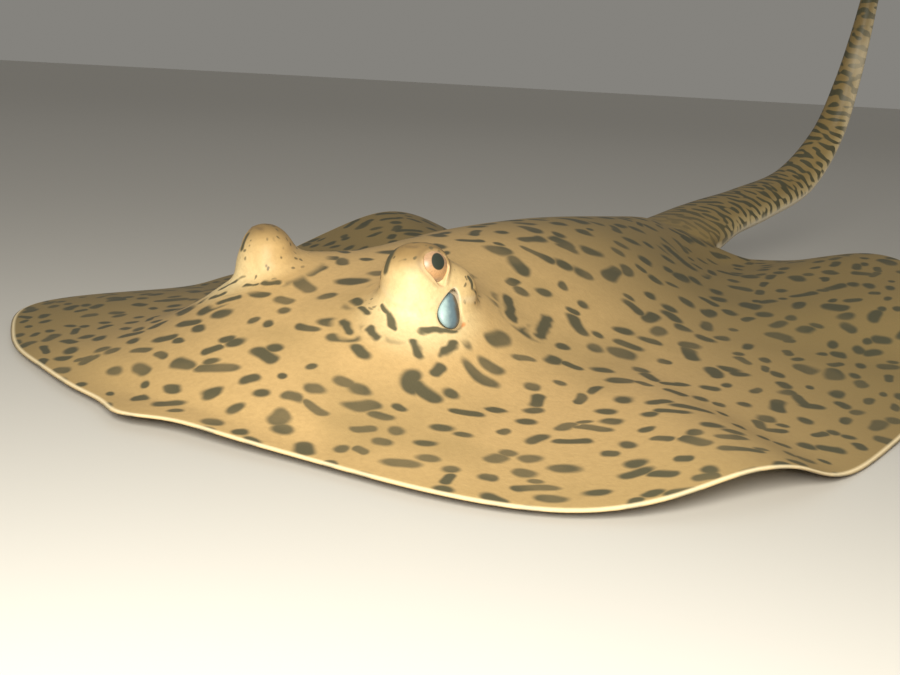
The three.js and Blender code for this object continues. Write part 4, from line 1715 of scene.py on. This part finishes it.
def placed_on(side: Side, places: np.ndarray) -> np.ndarray:
    """Carry places of the left knob to a side.

    Args:
        side: The side to carry them to.
        places: The places, one row each.

    Returns:
        The places on that side, mirrored and a little lower on the right.
    """
    if side is Side.LEFT:
        return places
    moved = places - np.array(HeadForm().right_drop)
    moved[:, 0] *= -1.0
    return moved


@dataclass
class Eye:
    """One eyeball."""

    side: Side
    form: EyeForm = field(default_factory=EyeForm)
    columns: int = 64
    rows: int = 40

    def build(self, material: bpy.types.Material) -> bpy.types.Object:
        """Make the eyeball.

        Args:
            material: Its finish.

        Returns:
            The eyeball, looking out from its side.
        """
        mesh = sphere_mesh("eye", self.columns, self.rows)
        unit = mesh_places(mesh)
        paint_vector(mesh, "eye_place", np.stack([unit[:, 2], unit[:, 0], unit[:, 1]], axis=1))
        gaze, up, front = self.form.axes()
        places = unit[:, 2:3] * gaze + unit[:, 0:1] * up + unit[:, 1:2] * front
        places = np.array(self.form.centre) + places * self.form.radius
        set_places(mesh, placed_on(self.side, places))
        face_out(mesh)
        piece = show(mesh, f"eyeball_{self.side.label}", material)
        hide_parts(f"eye_{self.side.label}")
        return piece


@dataclass(frozen=True)
class ValveFinish:
    """A damp blue-white membrane, duller towards the rear: partly its own tone, partly painted shade in the
    spiracle's hollow.
    """

    bright: Triple = (170, 196, 196)
    middle: Triple = (100, 122, 132)
    # Grey-brown at the rear: partly the membrane's tone, partly painted shade.
    dull: Triple = (96, 86, 70)
    lean: float = 0.3
    wander: float = 0.5
    middle_span: tuple[float, float] = (-0.9, -0.15)
    dull_and_shade_span: tuple[float, float] = (-0.1, 0.45)
    roughness: float = 0.42

    def material(self) -> bpy.types.Material:
        """Make the valve's material.

        Returns:
            The material, which reads the place on the cushion.
        """
        mat, g, shader = new_material("spiracle_membrane")
        _, rear, high = g.parts(g.attribute("valve_place", "Vector"))
        at = g.millimetres()
        wander = g.math("MULTIPLY", g.math("SUBTRACT", g.noise(at, 0.5), 0.5), self.wander)
        across = g.math("ADD", g.math("ADD", rear, g.math("MULTIPLY", high, self.lean)), wander)
        # The blue-white front fades to grey-brown at the rear, partly the membrane's tone and partly painted
        # shade from the hollow.
        colour = g.mix(g.ramp(across, *self.middle_span), self.bright, self.middle)
        colour = g.mix(g.ramp(across, *self.dull_and_shade_span), colour, self.dull)
        g.feed(shader.inputs["Base Color"], colour)
        g.feed(shader.inputs["Roughness"], self.roughness)
        g.bump(shader, g.noise(at, 1.6, 3.0), 0.2, 0.0002)
        return mat


@dataclass
class Valve:
    """The valve of one spiracle, a thin cushion; its sizes are for the left and mirrored."""

    side: Side
    centre: Triple = (42.1, -89.5, 28.8)
    radii: Triple = (2.3, 3.7, 7.9)
    out: Triple = (0.84, -0.106, 0.53)
    long: Triple = (-0.449, 0.414, 0.792)
    narrowing: float = 0.5
    columns: int = 48
    rows: int = 32

    def build(self, material: bpy.types.Material) -> bpy.types.Object:
        """Make the valve.

        Args:
            material: Its finish.

        Returns:
            The valve, narrower at its top.
        """
        mesh = sphere_mesh("valve", self.columns, self.rows)
        unit = mesh_places(mesh)
        paint_vector(mesh, "valve_place", unit)
        local = unit * np.array(self.radii)
        local[:, 1] *= 1.0 - self.narrowing * unit[:, 2]
        places = local @ axes_of(self.out, self.long) + np.array(self.centre)
        set_places(mesh, placed_on(self.side, places))
        face_out(mesh)
        piece = show(mesh, f"spiracle_membrane_{self.side.label}", material)
        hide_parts(f"spiracle_valve_{self.side.label}")
        return piece


@dataclass(frozen=True)
class StingFinish:
    """Dentine: ivory at the tip, brown and grained towards the root."""

    ivory: Triple = (168, 146, 112)
    root: Triple = (84, 68, 50)
    grain: tuple[float, float] = (9.0, 2.0)
    ivory_span: tuple[float, float] = (0.05, 0.85)
    roughness: float = 0.45

    def material(self) -> bpy.types.Material:
        """Make the sting's material.

        Returns:
            The material, which reads the place on the sting.
        """
        mat, g, shader = new_material("sting_dentine")
        across, along, _ = g.parts(g.attribute("sting_place", "Vector"))
        fine, long = self.grain
        at = g.whole(g.math("MULTIPLY", across, fine), g.math("MULTIPLY", along, long))
        grain = g.noise(at, 1.0, 4.0, 0.6)
        share = g.math("ADD", along, g.math("MULTIPLY", g.math("SUBTRACT", grain, 0.5), 0.5))
        g.feed(shader.inputs["Base Color"], g.mix(g.ramp(share, *self.ivory_span), self.root, self.ivory))
        g.feed(shader.inputs["Roughness"], self.roughness)
        g.bump(shader, grain, 0.3, 0.0001)
        return mat


@dataclass
class Sting:
    """The flat barbed sting on top of the tail.

    A share along the sting is 0 at its root and 1 at its point, and across it 0 is the middle and
    1 the edge.
    """

    tail: TailForm = field(default_factory=TailForm)
    step_share: float = 25 / 40
    length: float = 44.0
    width: float = 4.2
    thickness: float = 1.7
    taper_span: tuple[float, float] = (0.2, 1.02)
    taper: float = 0.97
    sunk: float = 1.1
    rise: float = -0.08
    barbs: int = 22
    barb_depth: float = 0.16
    barb_start: float = 0.18
    barb_edge: float = 0.9
    roundness: float = 0.85
    thinnest: float = 0.15
    columns: int = 6
    rows_per_barb: int = 4

    def slab(self) -> bpy.types.Mesh:
        """Make the plain slab.

        Returns:
            A closed slab from -1 to 1 each way, with rows for the barbs.
        """
        bm = bmesh.new()
        rows = self.barbs * self.rows_per_barb
        bmesh.ops.create_grid(bm, x_segments=self.columns, y_segments=rows, size=1.0)
        made = bmesh.ops.extrude_face_region(bm, geom=bm.faces[:])
        for vert in bm.verts:
            vert.co.z = -1.0
        for vert in (v for v in made["geom"] if isinstance(v, bmesh.types.BMVert)):
            vert.co.z = 1.0
        bmesh.ops.recalc_face_normals(bm, faces=bm.faces[:])
        mesh = bpy.data.meshes.new("sting")
        bm.to_mesh(mesh)
        bm.free()
        return mesh

    def build(self, material: bpy.types.Material) -> bpy.types.Object:
        """Make the sting.

        Args:
            material: Its finish.

        Returns:
            The sting, with barbs that point back to its root.
        """
        mesh = self.slab()
        unit = mesh_places(mesh)
        along = (unit[:, 1] + 1.0) / 2.0
        taper = 1.0 - smooth(along, *self.taper_span) * self.taper
        saw = (along * self.barbs) % 1.0
        tooth = np.where(along > self.barb_start, 1.0 + self.barb_depth * (1.0 - saw - 0.5), 1.0)
        edge = np.abs(unit[:, 0])
        across = unit[:, 0] * self.width / 2.0 * taper * np.where(edge > self.barb_edge, tooth, 1.0)
        high = unit[:, 2] * self.thickness / 2.0 * np.sqrt(1.0 - self.roundness * edge ** 2)
        high = high * np.maximum(taper, self.thinnest)
        paint_vector(mesh, "sting_place", np.stack([unit[:, 0], along, unit[:, 2]], axis=1))
        at, ahead, side, up, height = self.foot()
        forward = ahead * math.cos(self.rise) + up * math.sin(self.rise)
        top = np.cross(side, forward)
        foot = at + up * (height / 2.0 - self.sunk)
        places = foot + forward * (along * self.length)[:, None] + side * across[:, None]
        places = places + top * high[:, None]
        set_places(mesh, places)
        face_out(mesh)
        piece = show(mesh, "tail_sting", material)
        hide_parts("sting")
        return piece

    def foot(self) -> tuple[np.ndarray, np.ndarray, np.ndarray, np.ndarray, float]:
        """Find where the sting grows.

        Returns:
            The tail's middle there, its directions forward, sideways and up, and its height.
        """
        points, forward, side, up, _, height, _ = self.tail.samples()
        at = round(self.step_share * self.tail.steps)
        return points[at], forward[at], side[at], up[at], height[at]


@dataclass(frozen=True)
class Lamp:
    """One square soft light, in metres and watts."""

    name: str
    at: Triple
    aim: Triple
    size: float
    power: float
    colour: Triple

    def hang(self) -> None:
        """Add the light, turned to its aim."""
        data = bpy.data.lights.new(self.name, "AREA")
        data.shape, data.size, data.energy, data.color = "SQUARE", self.size, self.power, self.colour
        lamp = bpy.data.objects.new(self.name, data)
        lamp.location = self.at
        lamp.rotation_euler = (Vector(self.aim) - Vector(self.at)).to_track_quat("-Z", "Y").to_euler()
        bpy.context.scene.collection.objects.link(lamp)


@dataclass
class Studio:
    """Floor, lights, surroundings and camera; its places are in metres."""

    sensor: float = 36.0
    lens: float = 43.06
    near: float = 0.01
    camera_at: Triple = (0.2315, -0.3448, 0.0940)
    ahead: Triple = (-0.57677, 0.78367, -0.23065)
    right: Triple = (0.79677, 0.60196, 0.05284)
    floor_reach: float = 40.0
    floor_paint: tuple[float, ...] = (0.62, 0.6, 0.56, 1.0)
    lamps: tuple[Lamp, ...] = (
        Lamp("key", (0.26, -0.44, 0.22), (0.02, -0.09, 0.02), 0.16, 3.3, (1.0, 0.96, 0.86)),
        Lamp("top", (-0.1, 0.3, 1.6), (0.0, 0.0, 0.0), 1.6, 2.5, (1.0, 0.98, 0.94)),
    )
    air: tuple[float, ...] = (0.9, 0.87, 0.8, 1.0)
    air_strength: float = 0.26

    def camera(self) -> None:
        """Place the camera."""
        data = bpy.data.cameras.new("camera")
        data.lens, data.sensor_width = self.lens, self.sensor
        data.clip_start = self.near
        camera = bpy.data.objects.new("camera", data)
        ahead, right = Vector(self.ahead).normalized(), Vector(self.right).normalized()
        up = right.cross(ahead)
        turn = Matrix((right, up, -ahead)).transposed()
        camera.matrix_world = Matrix.Translation(self.camera_at) @ turn.to_4x4()
        bpy.context.scene.collection.objects.link(camera)
        bpy.context.scene.camera = camera

    def floor(self) -> None:
        """Lay the floor."""
        bm = bmesh.new()
        bmesh.ops.create_grid(bm, x_segments=1, y_segments=1, size=self.floor_reach)
        mesh = bpy.data.meshes.new("floor")
        bm.to_mesh(mesh)
        bm.free()
        floor = bpy.data.objects.new("floor", mesh)
        bpy.context.scene.collection.objects.link(floor)
        mat, g, shader = new_material("floor_paint")
        g.feed(shader.inputs["Base Color"], self.floor_paint)
        mesh.materials.append(mat)

    def surroundings(self) -> None:
        """Fill the air with an even light."""
        world = bpy.data.worlds.new("world")
        world.use_nodes = True
        background = world.node_tree.nodes["Background"]
        background.inputs["Color"].default_value = self.air
        background.inputs["Strength"].default_value = self.air_strength
        bpy.context.scene.world = world

    def build(self) -> None:
        """Make the whole setting."""
        self.floor()
        for lamp in self.lamps:
            lamp.hang()
        self.surroundings()
        self.camera()
        bpy.context.scene.view_settings.view_transform = "Standard"


FLESH = [
    "head", "trunk", "tail_base", "tail_middle", "tail_rear", "tail_tip",
    "pectoral_fin_left", "pectoral_fin_right", "pelvic_fin_left", "pelvic_fin_right",
]


def main() -> None:
    """Build every piece in order."""
    logging.basicConfig(level=logging.INFO, format="%(name)s: %(message)s")
    skin = Skin().build(SkinFinish().material())
    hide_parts(*FLESH)
    eye_finish, valve_finish = EyeFinish().material(), ValveFinish().material()
    for side in Side:
        Eye(side).build(eye_finish)
        Valve(side).build(valve_finish)
    Sting().build(StingFinish().material())
    Studio().build()


if __name__ == "__main__":
    main()
